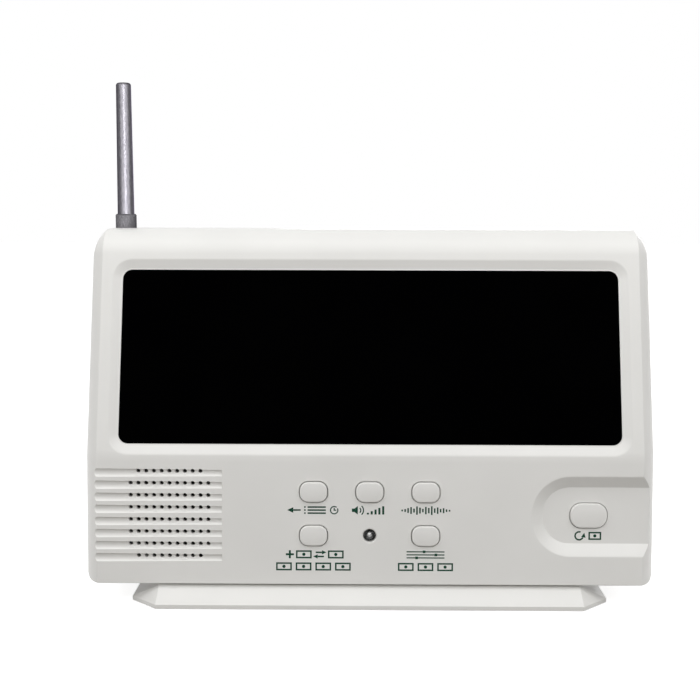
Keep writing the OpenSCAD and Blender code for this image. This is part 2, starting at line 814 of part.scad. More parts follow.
// A bar along the door's hinge line
module hinge_bar(half, r) bar_x(bead_y, bead_z, bay_x - half, bay_x + half, r);
module rear_housing() {
    color("gainsboro") difference() {
        intersection() {
            difference() {
                housing_solid(0);
                difference() {
                    housing_solid(wall);
                    rear_fittings();
                }
            }
            behind_parting();
        }
        for (p = case_posts) {
            rod(p[0], p[1], parting_y - cut_over, rear_reach, screw_r + pass_gap);
            rod(p[0], p[1], case_seat_y, rear_reach + cut_over, sink_r);
        }
        for (p = board_posts)
            rod(p[0], p[1], board_back - cut_over, board_y + board_screw_l + pilot_over, small_r + fit_gap);
        translate([antenna_x, antenna_y, stud_low])
            cylinder(r = stud_d / 2 + stud_gap, h = top_z - stud_low + cut_over);
        translate([bay_x - bay_in_w / 2, bay_floor, bay_low_z]) cube([bay_in_w, rear_reach, bay_in_h]);
        translate([bay_x - door_w / 2 - door_gap, door_ledge, door_low - door_gap])
            cube([door_w + 2 * door_gap, rear_reach, bead_z + bead_r + 2 * door_gap - door_low]);
        hinge_bar(door_w / 2 + door_gap, bead_r + door_gap);
        hinge_bar(door_w / 2 + pin_reach + door_gap, hinge_pin_r + hinge_gap);
        rod(bay_x, door_screw_z, door_in - door_bore_l, rear_reach, screw_r + door_screw_gap);
        for (z = tail_places) contact_tail(z, tail_gap);
        for (sx = [-1, 1]) translate([sx * keyhole_span / 2, 0, keyhole_z]) {
            sheet(rear_in - cup_depth, rear_reach + cut_over) keyhole();
            sheet(rear_in - cup_depth, rear_in) keyhole_cup(0);
        }
        rod(jack_x, jack_z, rear_in - cut_over, rear_reach + cut_over, jack_r + 2 * fit_gap);
    }
}

// Tinted lens: a raised middle fills the opening, and a flange sits behind its edge
module display_window() {
    color([0.03, 0.03, 0.035]) on_face() translate([0, 0, window_mid]) {
        sheet(bevel_depth + lens_set_back, lens_depth + lens_t) window_outline(-lens_gap);
        sheet(lens_depth, lens_depth + lens_t) window_outline(lens_lap);
    }
}
module window_gasket() {
    color("dimgray") on_face() translate([0, 0, window_mid]) difference() {
        sheet(wall, lens_depth) window_outline(lens_lap);
        sheet(wall - cut_over, lens_depth + cut_over) window_outline(lens_gap);
    }
}
module digit_blocks() {
    pitch = digit_w + digit_gap;
    first = -(digit_count - 1) / 2 * pitch - digit_w / 2;
    color("black") on_face() for (i = [0:digit_count - 1])
        translate([first + i * pitch, digit_depth, window_mid - digit_h / 2])
            cube([digit_w, digit_t, digit_h]);
}
module display_board() {
    color("darkgreen") on_face() difference() {
        translate([-display_board_w / 2, display_board_depth, window_mid - display_board_h / 2])
            cube([display_board_w, board_t, display_board_h]);
        for (p = display_posts) rod(p[0], p[1], 0, display_board_depth + 2 * board_t, small_r + pass_gap);
    }
}

// A key: rounded cap, retaining flange behind the panel, and a post down to its switch
module key_cap(name) {
    k = key_named(name);
    flange_at = k[5] + (k[5] > 0 ? scoop_skin : wall) + flange_gap;
    color("whitesmoke") on_panel() translate([k[1], k[5] - key_proud, k[2]]) {
        cap_in = flange_at - k[5] + key_proud;
        hull() for (a = [0, 30, 60, 90]) let (in = key_soft * (1 - cos(a)))
            sheet(key_soft * (1 - sin(a)), cap_in)
                round_rect(k[3] - 2 * in, k[4] - 2 * in, k[6] - in, $fn = 32);
        sheet(cap_in, cap_in + flange_t) round_rect(k[3] + 2 * flange_lap, k[4] + 2 * flange_lap, k[6]);
        rod(0, 0, cap_in, plunger_top - k[5] + key_proud, key_stem_r);
    }
}
module key_plunger(name) {
    k = key_named(name);
    color("ivory") on_panel()
        rod(k[1], k[2], plunger_top, switch_bottom - key_travel - plunger_over, plunger_d / 2);
}
module switch_bodies() {
    color("black") on_panel() for (k = keys) translate([k[1], 0, k[2]]) difference() {
        sheet(key_board_depth - switch_h, key_board_depth) square(switch_size, center = true);
        rod(0, 0, key_board_depth - switch_h - cut_over, switch_bottom, plunger_d / 2 + slide_gap);
    }
}
module key_board() {
    color("darkgreen") on_panel() difference() {
        translate([key_board_left, key_board_depth, key_board_low])
            cube([key_board_right - key_board_left, board_t, key_board_high - key_board_low]);
        for (p = key_posts) rod(p[0], p[1], 0, key_board_depth + 2 * board_t, small_r + pass_gap);
    }
}
// Clear lamp with a domed tip just inside the panel face
module indicator_lamp() {
    dome = led_d / 2;
    foot = dome + led_flange;
    color("lightyellow") on_panel() turned_in(0, key_row_low) polygon(concat(
        arc([0, led_tip + dome], dome, -90, 0, 10),
        [[dome, led_h - led_flange_t], [foot, led_h - led_flange_t], [foot, led_h], [0, led_h]]
    ));
}
module lamp_spacer() {
    color("white") on_panel() difference() {
        rod(0, key_row_low, led_h, key_board_depth, led_d / 2 + led_flange);
        for (x = [-led_leg_x, led_leg_x])
            rod(x, key_row_low, led_h - cut_over, key_board_depth + cut_over, led_leg_r);
    }
}

module speaker_gasket() {
    color("dimgray") on_panel() turned_in(grille_x, speaker_v)
        translate([speaker_d / 2 - speaker_rim_w, wall]) square([speaker_rim_w, speaker_front - wall]);
}
module speaker_frame() {
    rim = speaker_d / 2;
    throat = rim - speaker_rim_w;
    seat = speaker_front + ledge;
    shoulder = speaker_front + speaker_rim_t;
    back = basket_d / 2;
    plate = basket_back - basket_t;
    color("silver") on_panel() turned_in(grille_x, speaker_v) polygon([
        [throat, seat], [rim - basket_t, seat], [rim - basket_t, speaker_front], [rim, speaker_front],
        [rim, shoulder], [throat, shoulder], [back, basket_back], [0, basket_back], [0, plate],
        [back - basket_t, plate], [throat - basket_t, shoulder - basket_t / 2], [throat - basket_t, seat]
    ]);
}
// Paper cone with a dust cap, its edge glued on the frame's ledge
module speaker_cone() {
    rim = speaker_d / 2 - basket_t - slide_gap;
    roll = rim - speaker_rim_w;
    seat = speaker_front + ledge;
    deep = seat + cone_deep;
    color("dimgray") on_panel() turned_in(grille_x, speaker_v) polygon([
        [rim, seat - paper_t], [rim, seat], [roll, seat], [coil_r, deep], [0, deep], [0, deep - 3 * paper_t],
        [coil_r / 2, deep - 2.5 * paper_t], [coil_r, deep - 1.4 * paper_t], [roll, seat - paper_t]
    ]);
}
module speaker_magnet() {
    color("gray") on_panel() rod(grille_x, speaker_v, basket_back, basket_back + magnet_h, magnet_d / 2);
}
module speaker_clips() {
    at = speaker_front + speaker_rim_t;
    color("silver") on_panel() clip_places() difference() {
        translate([clip_r - clip_in, at, -clip_w / 2]) cube([clip_l, clip_t, clip_w]);
        rod(clip_r, 0, at - cut_over, at + clip_t + cut_over, small_r + pass_gap);
    }
}

// Tapered plastic sleeve with a rounded tip
module antenna_sleeve() {
    color([0.35, 0.34, 0.38]) translate([antenna_x, antenna_y, 0]) rotate_extrude() polygon(concat(
        [[core_r + fit_gap, whip_low], [whip_d / 2, whip_low]],
        arc([whip_tip_d / 2 - tip_soft, whip_high - tip_soft], tip_soft, 0, 90, 6),
        [[0, whip_high], [0, core_high], [core_r + fit_gap, core_high]]
    ));
}
module antenna_core() {
    color("silver") translate([antenna_x, antenna_y, stud_high])
        cylinder(r = core_r, h = core_high - stud_high);
}
module antenna_collar() {
    hole = stud_d / 2 + fit_gap;
    color([0.4, 0.4, 0.42]) translate([antenna_x, antenna_y, top_z]) rotate_extrude() polygon([
        [hole, 0], [collar_d / 2, 0], [collar_d / 2, collar_h - collar_soft],
        [collar_d / 2 - collar_soft, collar_h],
        [core_r + fit_gap, collar_h], [core_r + fit_gap, stud_high - top_z], [hole, stud_high - top_z]
    ]);
}
module antenna_stud() {
    color("goldenrod") translate([antenna_x, antenna_y, stud_low])
        cylinder(d = stud_d, h = stud_high - stud_low);
}
module antenna_nut() {
    color("goldenrod") translate([antenna_x, antenna_y, top_z - wall - antenna_pad - nut_h]) difference() {
        cylinder(r = nut_r, h = nut_h, $fn = 6);
        translate([0, 0, -cut_over]) cylinder(r = stud_d / 2 + fit_gap, h = nut_h + 2 * cut_over);
    }
}

// Stand: sloping plate with cut corners, hollow below, and a low plateau that carries the housing
module stand_form(skin) {
    half_x = stand_w / 2 - skin;
    half_y = stand_d / 2 - skin;
    low = stand_low - (skin > 0 ? cut_over : 0);
    hull() {
        translate([0, 0, low]) linear_extrude(rim_h + stand_low - low) polygon([
            for (p = stand_corners)
                [p[0] * (half_x - p[2] * corner_x), p[1] * (half_y - (1 - p[2]) * corner_y)]
        ]);
        translate([slope_x - half_x, slope_y - half_y, stand_top - skin - thin])
            cube([2 * (half_x - slope_x), 2 * (half_y - slope_y), thin]);
    }
}
module stand_plate() {
    plateau_x = min(stand_w / 2 - slope_x, half_w) - plateau_in;
    plateau_low = max(-stand_d / 2 + slope_y, -front_reach) + plateau_in;
    color("gainsboro") difference() {
        union() {
            difference() {
                stand_form(0);
                stand_form(stand_wall);
            }
            translate([-plateau_x, plateau_low, stand_top - stand_wall / 2])
                cube([2 * plateau_x, rear_reach - plateau_in / 2 - plateau_low, stand_wall / 2 + seam]);
            for (p = stand_screws) translate([p[0], p[1], stand_low]) cylinder(r = stand_boss_r, h = stand_h);
            for (p = feet) translate([p[0], p[1], stand_low])
                cylinder(d = foot_d + 2 * foot_ring, h = stand_h - stand_wall / 2);
        }
        for (p = stand_screws) translate([p[0], p[1], 0]) {
            cylinder(r = screw_r + pass_gap, h = base_z + cut_over);
            cylinder(r = sink_r, h = stand_seat);
        }
        for (p = feet) translate([p[0], p[1], 0]) cylinder(d = foot_d + slide_gap, h = stand_low + foot_sink);
    }
}
module rubber_feet() {
    high = stand_low + foot_sink;
    color("dimgray") for (p = feet) translate([p[0], p[1], 0]) rotate_extrude() polygon([
        [0, 0], [foot_d / 2 - foot_soft, 0], [foot_d / 2, foot_soft], [foot_d / 2, high], [0, high]
    ]);
}

// Screws, with their heads at the start of the line and their shanks running on from there
module screw(r, length, wide, tall) {
    translate([0, 0, -tall]) cylinder(r = wide, h = tall);
    translate([0, 0, -tall / 2]) cylinder(r = r, h = length + tall / 2);
}
module stand_screws() {
    color("silver") for (p = stand_screws) translate([p[0], p[1], stand_seat])
        screw(screw_r, stand_screw_l, head_r, head_h);
}
module case_screws() {
    color("silver") for (p = case_posts) translate([p[0], case_seat_y, p[1]]) rotate([90, 0, 0])
        screw(screw_r, case_screw_l, head_r, head_h);
}
module small_screws() {
    color("silver") {
        on_panel() {
            for (p = key_posts) translate([p[0], key_board_depth + board_t, p[1]]) rotate([90, 0, 0])
                screw(small_r, key_screw_l, small_head_r, small_head_h);
            clip_places() translate([clip_r, speaker_front + speaker_rim_t + clip_t, 0]) rotate([90, 0, 0])
                screw(small_r, clip_screw_l, small_head_r, small_head_h);
        }
        on_face() for (p = display_posts)
            translate([p[0], display_board_depth + board_t, p[1]]) rotate([90, 0, 0])
                screw(small_r, board_screw_l, small_head_r, small_head_h);
        for (p = board_posts) translate([p[0], board_y, p[1]]) rotate([-90, 0, 0])
            screw(small_r, board_screw_l, small_head_r, small_head_h);
    }
}

module main_board() {
    color("darkgreen") difference() {
        translate([board_left, board_y, board_low])
            cube([board_right - board_left, board_t, board_high - board_low]);
        for (p = board_posts) rod(p[0], p[1], board_y - cut_over, board_back + cut_over, small_r + pass_gap);
    }
}
module radio_can() {
    color("silver") translate(can_at) translate([-can_size[0] / 2, 0, -can_size[2] / 2]) cube(can_size);
}
// Processor, driver chips and two reservoir capacitors on the back of the main board
module board_components() {
    mid = (board_left + board_right) / 2;
    color("black") {
        translate([mid - processor_size[0] / 2, board_back, board_low + processor_up]) cube(processor_size);
        for (i = [0:2])
            translate([mid - row_start + i * chip_pitch, board_back, board_low + chip_up]) cube(chip_size);
        for (i = [0, 1])
            rod(
                board_right - chip_pitch - i * capacitor_pitch, board_low + chip_up,
                board_back, board_back + capacitor_h, capacitor_r
            );
    }
}
// How far up the display face a level line meets the back of the display board
function up_display(z) = (z - crease_z + (display_board_depth + board_t) * sin(face_lean)) / cos(face_lean);
module socket(size) translate([-size[0] / 2, 0, -size[2] / 2]) cube(size);
module board_connectors() {
    color("ivory") {
        for (p = [display_plug, key_plug]) translate(p - [0, header_size[1], 0]) socket(header_size);
        for (p = [speaker_plug, power_plug, battery_plug]) translate(p) socket(plug_size);
        on_face() translate([display_plug[0], display_board_depth + board_t, up_display(display_plug[2])])
            socket(header_size);
        on_panel() translate([key_plug[0], key_board_depth + board_t, key_socket_v]) socket(header_size);
    }
}
// A smooth run from a to d, leaving along b and arriving along c: its points and its directions
function bent(a, b, c, d, steps) = [
    for (i = [0:steps]) let (t = i / steps, u = 1 - t)
        u * u * u * a + 3 * u * u * t * b + 3 * u * t * t * c + t * t * t * d
];
function bent_way(a, b, c, d, steps) = [
    for (i = [0:steps]) let (t = i / steps, u = 1 - t)
        u * u * (b - a) + 2 * u * t * (c - b) + t * t * (d - c)
];
// A flat flexible cable, drawn as a run in the side view and given thickness and width
module flat_cable(a, b, c, d, x) {
    steps = 12;
    line = bent(a, b, c, d, steps);
    out = [for (w = bent_way(a, b, c, d, steps)) [-w[1], w[0]] / norm(w) * ribbon_t / 2];
    translate([x, 0, 0]) rotate([90, 0, 90]) linear_extrude(ribbon_w, center = true) polygon(concat(
        [for (i = [0:steps]) line[i] + out[i]],
        [for (i = [steps:-1:0]) line[i] - out[i]]
    ));
}
function side_view(p) = [p[1], p[2]];
module display_ribbon() {
    deep = display_board_depth + board_t + header_size[1];
    s = up_display(display_plug[2]);
    stop = display_plug[1] - header_size[1];
    color("lightgray") flat_cable(
        side_view(face_point(0, s, deep)), side_view(face_point(0, s, deep + display_ease)),
        [stop - display_ease, display_plug[2]], [stop, display_plug[2]], display_plug[0]
    );
}
module key_ribbon() {
    deep = key_board_depth + board_t + header_size[1];
    stop = key_plug[1] - header_size[1];
    color("lightgray") flat_cable(
        side_view(panel_point(0, key_socket_v, deep)),
        side_view(panel_point(0, key_socket_v, deep + key_ease)),
        [stop - key_ease, key_plug[2]], [stop, key_plug[2]], key_plug[0]
    );
}
// A round wire swept along points, square to the way it runs at each of them;
// its facets are counted from a direction that no run here takes
module wire(line, ways, r, sides) {
    last = len(line) - 1;
    ring = [
        for (i = [0:last]) let (
            u = cross(ways[i], wire_up) / norm(cross(ways[i], wire_up)),
            v = cross(ways[i], u) / norm(ways[i])
        ) for (j = [0:sides - 1]) line[i] + r * (cos(360 * j / sides) * u + sin(360 * j / sides) * v)
    ];
    polyhedron(ring, concat(
        [[for (j = [0:sides - 1]) j]],
        [for (i = [0:last - 1], j = [0:sides - 1]) let (k = (j + 1) % sides)
            each [[i * sides + k, i * sides + j, (i + 1) * sides + j],
                [i * sides + k, (i + 1) * sides + j, (i + 1) * sides + k]]],
        [[for (j = [sides - 1:-1:0]) last * sides + j]]
    ));
}
module lead(a, b, c, d) {
    wire(bent(a, b, c, d, lead_steps), bent_way(a, b, c, d, lead_steps), lead_r, 8);
}
module antenna_lead() {
    from = [antenna_x, antenna_y, stud_low];
    to = [can_at[0] - can_size[0] / 2, can_at[1] + can_size[1] / 2, can_at[2]];
    color("black") lead(from, from - [0, 0, antenna_lead_drop], to - [antenna_lead_run, 0, 0], to);
}
module speaker_leads() {
    from = panel_point(grille_x, speaker_v, basket_back + magnet_h);
    inward = panel_point(0, 0, speaker_lead_out) - panel_point(0, 0, 0);
    to = speaker_plug + [0, plug_size[1] / 2, -plug_size[2] / 2];
    color("firebrick") for (s = lead_pair)
        lead(from + s, from + s + inward, to + s - [0, 0, speaker_lead_rise], to + s);
}
module power_leads() {
    from = [jack_x, rear_in - jack_in, jack_z];
    to = power_plug + [0, plug_size[1] / 2, -plug_size[2] / 2];
    color("firebrick") for (s = lead_pair)
        lead(from + s, from + s - [0, power_lead_out, 0], to + s - [0, 0, power_lead_rise], to + s);
}
module battery_leads() {
    to = battery_plug + [plug_size[0], plug_size[1], 0] / 2;
    ease = [battery_lead_ease, 0, 0];
    color("firebrick") for (i = [0, 1]) {
        from = [bay_x - bay_in_w / 2 - bay_skin - tail_out, tail_y, tail_places[i]];
        s = [0, 0, i == 0 ? -battery_lead_space : battery_lead_space];
        lead(from, from - ease, to + s + ease, to + s);
    }
}

// Barrel inlet: flange outside, threaded barrel through the wall, and a centre pin
module power_inlet() {
    out = rear_reach + jack_flange_t;
    color("black") translate([jack_x, out, jack_z]) rotate([90, 0, 0]) difference() {
        union() {
            cylinder(r = jack_flange_r, h = jack_flange_t);
            cylinder(r = jack_r, h = out - rear_in + jack_in);
        }
        difference() {
            translate([0, 0, -cut_over]) cylinder(r = jack_bore_r, h = jack_bore_l + cut_over);
            translate([0, 0, jack_pin_back]) cylinder(r = jack_pin_r, h = jack_bore_l);
        }
    }
}
module inlet_nut() {
    color("silver") translate([jack_x, rear_in, jack_z]) rotate([90, 0, 0]) difference() {
        cylinder(r = jack_r + jack_nut_w, h = jack_nut_h, $fn = 6);
        translate([0, 0, -cut_over]) cylinder(r = jack_r + fit_gap, h = jack_nut_h + 2 * cut_over);
    }
}

// Battery door: hangs on two pins in a round bead along its top edge, held by one captive screw
module battery_door() {
    color("gainsboro") difference() {
        union() {
            translate([bay_x - door_w / 2, door_in, door_low]) cube([door_w, door_t, bead_z - door_low]);
            hinge_bar(door_w / 2, bead_r);
            hinge_bar(door_w / 2 + pin_reach, hinge_pin_r);
        }
        rod(bay_x, door_screw_z, door_in - cut_over, rear_reach + cut_over, screw_r + fit_gap);
        rod(bay_x, door_screw_z, rear_reach - door_screw_sink, rear_reach + cut_over, head_r + slide_gap);
    }
}
module door_screw() {
    color("silver") translate([bay_x, rear_reach - door_screw_sink, door_screw_z]) rotate([90, 0, 0])
        screw(screw_r, door_screw_tip, head_r, door_screw_sink - 2 * fit_gap);
}
function cell_z(i) = bay_mid_z + (i - (cell_count - 1) / 2) * cell_pitch;
function cell_way(i) = i % 2 == 0 ? 1 : -1;
module battery_cells() {
    color("steelblue") for (i = [0:cell_count - 1])
        translate([bay_x, cell_y, cell_z(i)]) rotate([0, 90 * cell_way(i), 0])
            translate([0, 0, contact_face - cell_l]) {
                cylinder(d = cell_d, h = cell_l - cell_nub);
                cylinder(r = cell_nub_r, h = cell_l);
            }
}
// Bridging plates at both ends of the bay, and two end plates with solder tails
module battery_contacts() {
    size = cell_d - contact_in;
    color("silver") {
        for (i = [0:2:cell_count - 2]) contact_plate(1, cell_z(i), cell_z(i + 1), size);
        for (i = [1:2:cell_count - 3]) contact_plate(-1, cell_z(i), cell_z(i + 1), size);
        for (i = [0, 1]) {
            z = cell_z(i * (cell_count - 1));
            contact_plate(-1, z, z, size);
            contact_tail(tail_places[i], 0);
        }
    }
}
module contact_plate(side, low, high, size) {
    middle = bay_x + side * (bay_in_w - contact_t) / 2;
    translate([middle - contact_t / 2, cell_y - size / 2, low - size / 2])
        cube([contact_t, size, high - low + size]);
}
// One coil spring at the flat end of each cell
module battery_springs() {
    turns = 3;
    per_turn = 8;
    thick = 0.45;
    wide = 4.2;
    drop = (spring_l - 2 * thick - 2 * fit_gap) / turns;
    start = contact_face - thick - fit_gap;
    angles = [for (j = [0:turns * per_turn]) 360 * j / per_turn];
    color("silver") for (i = [0:cell_count - 1])
        translate([bay_x, cell_y, cell_z(i)]) rotate([0, -90 * cell_way(i), 0]) wire(
            [for (a = angles) [wide * cos(a), wide * sin(a), start - drop * a / 360]],
            [for (a = angles) [-wide * sin(a), wide * cos(a), -drop / (2 * PI)]], thick, 6
        );
}

front_housing();
rear_housing();
display_window();
window_gasket();
digit_blocks();
display_board();
key_cap("review");  // review_key
key_cap("volume");  // volume_key
key_cap("tone");  // tone_key
key_cap("add");  // add_key
key_cap("program");  // program_key
key_cap("reset");  // reset_key
key_plunger("review");  // review_plunger
key_plunger("volume");  // volume_plunger
key_plunger("tone");  // tone_plunger
key_plunger("add");  // add_plunger
key_plunger("program");  // program_plunger
key_plunger("reset");  // reset_plunger
switch_bodies();
key_board();
indicator_lamp();
lamp_spacer();
speaker_gasket();
speaker_frame();
speaker_cone();
speaker_magnet();
speaker_clips();
antenna_sleeve();
antenna_core();
antenna_collar();
antenna_stud();
antenna_nut();
antenna_lead();
stand_plate();
rubber_feet();
stand_screws();
case_screws();
small_screws();
main_board();
radio_can();
board_components();
board_connectors();
display_ribbon();
key_ribbon();
speaker_leads();
power_leads();
battery_leads();
power_inlet();
inlet_nut();
battery_door();
door_screw();
battery_cells();
battery_contacts();
battery_springs();
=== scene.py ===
# Looks of a wireless nurse-call monitor: a light grey desk console with a black display window,
# six keys, a grooved speaker grille, a stub antenna, a low stand and a battery door behind.
import json
import math

import bmesh
import bpy
from mathutils import Matrix, Vector


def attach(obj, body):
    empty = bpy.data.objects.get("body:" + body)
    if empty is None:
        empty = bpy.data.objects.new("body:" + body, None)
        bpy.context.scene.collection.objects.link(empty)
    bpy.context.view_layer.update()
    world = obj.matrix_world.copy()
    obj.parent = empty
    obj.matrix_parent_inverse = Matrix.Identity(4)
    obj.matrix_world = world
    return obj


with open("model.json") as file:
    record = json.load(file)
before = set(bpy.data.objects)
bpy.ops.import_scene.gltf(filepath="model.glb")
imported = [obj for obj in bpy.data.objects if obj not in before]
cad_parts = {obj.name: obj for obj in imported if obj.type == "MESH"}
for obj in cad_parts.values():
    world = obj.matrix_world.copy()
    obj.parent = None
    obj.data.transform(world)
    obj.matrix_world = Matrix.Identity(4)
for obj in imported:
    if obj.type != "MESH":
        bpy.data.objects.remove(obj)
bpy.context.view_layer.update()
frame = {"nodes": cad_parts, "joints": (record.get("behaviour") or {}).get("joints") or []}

mm = 0.001

# Rear housing. The back half of the case is one injection moulding in light grey ABS, with the fine
# grain of a spark-eroded mould. Six screws from behind pull it against the front half.
case_grey = (0.80, 0.795, 0.772, 1)
case_shade = (0.775, 0.77, 0.747, 1)
satin = (0.33, 0.40)
mould_grain = 0.35 * mm
grain_height = 0.008 * mm
shade_cloud = 30 * mm
gloss_cloud = 4 * mm
noise_low = 0.3
noise_high = 0.7
noise_detail = 2


def cloudy(tree, size, low, high):
    """Slow variation over a surface, in clouds of the given size, between two shares."""
    place = tree.nodes.new("ShaderNodeTexCoord")
    noise = tree.nodes.new("ShaderNodeTexNoise")
    noise.inputs["Scale"].default_value = 1 / size
    noise.inputs["Detail"].default_value = noise_detail
    tree.links.new(place.outputs["Object"], noise.inputs["Vector"])
    spread = tree.nodes.new("ShaderNodeMapRange")
    spread.inputs["From Min"].default_value = noise_low
    spread.inputs["From Max"].default_value = noise_high
    spread.inputs["To Min"].default_value = low
    spread.inputs["To Max"].default_value = high
    tree.links.new(noise.outputs["Fac"], spread.inputs["Value"])
    return spread.outputs["Result"]


def grained(tree, surface, size, height):
    """A fine grain on a surface: bumps of the given size and height."""
    bump = tree.nodes.new("ShaderNodeBump")
    bump.inputs["Strength"].default_value = 1
    bump.inputs["Distance"].default_value = height
    tree.links.new(cloudy(tree, size, 0, 1), bump.inputs["Height"])
    tree.links.new(bump.outputs["Normal"], surface.inputs["Normal"])


def two_tone(tree, surface, share, first, second):
    """The surface's colour, between a first and a second one."""
    mix = tree.nodes.new("ShaderNodeMix")
    mix.data_type = "RGBA"
    mix.inputs["A"].default_value = first
    mix.inputs["B"].default_value = second
    tree.links.new(share, mix.inputs["Factor"])
    tree.links.new(mix.outputs["Result"], surface.inputs["Base Color"])


def moulded(name, light, dark, gloss=satin, grain=mould_grain, height=grain_height):
    """A material that is faintly uneven in shade and gloss, with a fine grain.

    It serves for plastic, metal and paper; the gloss is a range of roughness."""
    made = bpy.data.materials.new(name)
    made.use_nodes = True
    tree = made.node_tree
    surface = tree.nodes["Principled BSDF"]
    two_tone(tree, surface, cloudy(tree, shade_cloud, 0, 1), light, dark)
    tree.links.new(cloudy(tree, gloss_cloud, gloss[0], gloss[1]), surface.inputs["Roughness"])
    grained(tree, surface, grain, height)
    return made


def mesh_group(name):
    """A modifier's node group with nothing in it yet, its incoming mesh and its result."""
    group = bpy.data.node_groups.new(name, "GeometryNodeTree")
    group.interface.new_socket("Mesh", in_out="INPUT", socket_type="NodeSocketGeometry")
    group.interface.new_socket("Mesh", in_out="OUTPUT", socket_type="NodeSocketGeometry")
    start = group.nodes.new("NodeGroupInput")
    end = group.nodes.new("NodeGroupOutput")
    return group, start.outputs[0], end.inputs[0]


def round_faces_smooth(limit):
    """A modifier's node group that shades faces smooth, except across edges sharper than the limit."""
    group, incoming, result = mesh_group("smooth_up_to_%d" % limit)
    faces = group.nodes.new("GeometryNodeSetShadeSmooth")
    edges = group.nodes.new("GeometryNodeSetShadeSmooth")
    edges.domain = "EDGE"
    bend = group.nodes.new("GeometryNodeInputMeshEdgeAngle")
    gentle = group.nodes.new("FunctionNodeCompare")
    gentle.operation = "LESS_EQUAL"
    gentle.inputs["B"].default_value = math.radians(limit)
    group.links.new(incoming, faces.inputs["Geometry"])
    group.links.new(faces.outputs["Geometry"], edges.inputs["Geometry"])
    group.links.new(bend.outputs["Unsigned Angle"], gentle.inputs["A"])
    group.links.new(gentle.outputs["Result"], edges.inputs["Shade Smooth"])
    group.links.new(edges.outputs["Geometry"], result)
    return group


smooth_bend = 16
smooth_round = round_faces_smooth(smooth_bend)


def edges_to_round(limit, skins, spared):
    """A modifier's node group that marks the edges sharper than the limit, for a bevel.

    A skin is a point on an outer face, the way in and a depth: with skins, only edges that lie within the
    depth of one are marked. No edge is marked inside the spared box, given by its low and high corner."""
    group, incoming, result = mesh_group("edges_to_round")
    place = group.nodes.new("GeometryNodeInputPosition")

    def compared(value, operation, bound):
        """Whether a value is over or under a bound."""
        test = group.nodes.new("FunctionNodeCompare")
        test.operation = operation
        test.inputs["B"].default_value = bound
        group.links.new(value, test.inputs["A"])
        return test.outputs["Result"]

    def joined(operation, truths):
        """Truths put together, one after the other."""
        whole = truths[0]
        for truth in truths[1:]:
            both = group.nodes.new("FunctionNodeBooleanMath")
            both.operation = operation
            group.links.new(whole, both.inputs[0])
            group.links.new(truth, both.inputs[1])
            whole = both.outputs["Boolean"]
        return whole

    bend = group.nodes.new("GeometryNodeInputMeshEdgeAngle")
    chosen = compared(bend.outputs["Unsigned Angle"], "GREATER_THAN", math.radians(limit))
    close = []
    for foot, inward, deep in skins:
        depth = group.nodes.new("ShaderNodeVectorMath")
        depth.operation = "DOT_PRODUCT"
        depth.inputs[1].default_value = inward
        group.links.new(place.outputs["Position"], depth.inputs[0])
        close.append(compared(depth.outputs["Value"], "LESS_THAN", foot.dot(inward) + deep))
    if close:
        chosen = joined("AND", [chosen, joined("OR", close)])
    if spared:
        parts = group.nodes.new("ShaderNodeSeparateXYZ")
        group.links.new(place.outputs["Position"], parts.inputs["Vector"])
        inside = []
        for axis, low, high in zip("XYZ", spared[0], spared[1]):
            inside.append(compared(parts.outputs[axis], "GREATER_THAN", low))
            inside.append(compared(parts.outputs[axis], "LESS_THAN", high))
        chosen = joined("NIMPLY", [chosen, joined("AND", inside)])
    mark = group.nodes.new("GeometryNodeStoreNamedAttribute")
    mark.data_type = "FLOAT"
    mark.domain = "EDGE"
    mark.inputs["Name"].default_value = "bevel_weight_edge"
    mark.inputs["Value"].default_value = 1
    group.links.new(incoming, mark.inputs["Geometry"])
    group.links.new(chosen, mark.inputs["Selection"])
    group.links.new(mark.outputs["Geometry"], result)
    return group


weld_reach = 0.001 * mm
flat_bend = 0.6
edge_steps = 2


def finish_node(name, material, edge=0, sharp=0, skins=(), spared=None, clamp=False):
    """A CAD piece gets its material, its sharp edges a small radius, and its round faces smooth shading."""
    piece = frame["nodes"][name]
    piece.data.materials.clear()
    piece.data.materials.append(material)
    kept = piece.data.attributes.get("custom_normal")
    if kept:
        piece.data.attributes.remove(kept)
    weld = piece.modifiers.new("weld", "WELD")
    weld.merge_threshold = weld_reach
    if edge:
        flat = piece.modifiers.new("flat", "DECIMATE")
        flat.decimate_type = "DISSOLVE"
        flat.angle_limit = math.radians(flat_bend)
        marked = piece.modifiers.new("marked", "NODES")
        marked.node_group = edges_to_round(sharp, skins, spared)
        bevel = piece.modifiers.new("edge", "BEVEL")
        bevel.width = edge
        bevel.segments = edge_steps
        bevel.limit_method = "WEIGHT"
        bevel.use_clamp_overlap = clamp
        bevel.loop_slide = False
    shade = piece.modifiers.new("shade", "NODES")
    shade.node_group = smooth_round
    if edge:
        level = piece.modifiers.new("level", "WEIGHTED_NORMAL")
        level.keep_sharp = True
    return piece


case_plastic = moulded("case_plastic", case_grey, case_shade)
case_half_w = 117.4
case_foot = 9.2
case_top = 152.4
case_back = 22.4
skin_deep = 1.3 * mm
shell_skins = [
    (Vector((-case_half_w, 0, 0)) * mm, Vector((1, 0, 0)), skin_deep),
    (Vector((case_half_w, 0, 0)) * mm, Vector((-1, 0, 0)), skin_deep),
    (Vector((0, 0, case_foot)) * mm, Vector((0, 0, 1)), skin_deep),
    (Vector((0, 0, case_top)) * mm, Vector((0, 0, -1)), skin_deep),
]
back_skin = (Vector((0, case_back, 0)) * mm, Vector((0, -1, 0)), skin_deep)
rear_skins = shell_skins + [back_skin]
rear_edge = 0.2 * mm
case_bend = 16.5
finish_node("rear_housing", case_plastic, edge=rear_edge, sharp=case_bend, skins=rear_skins)

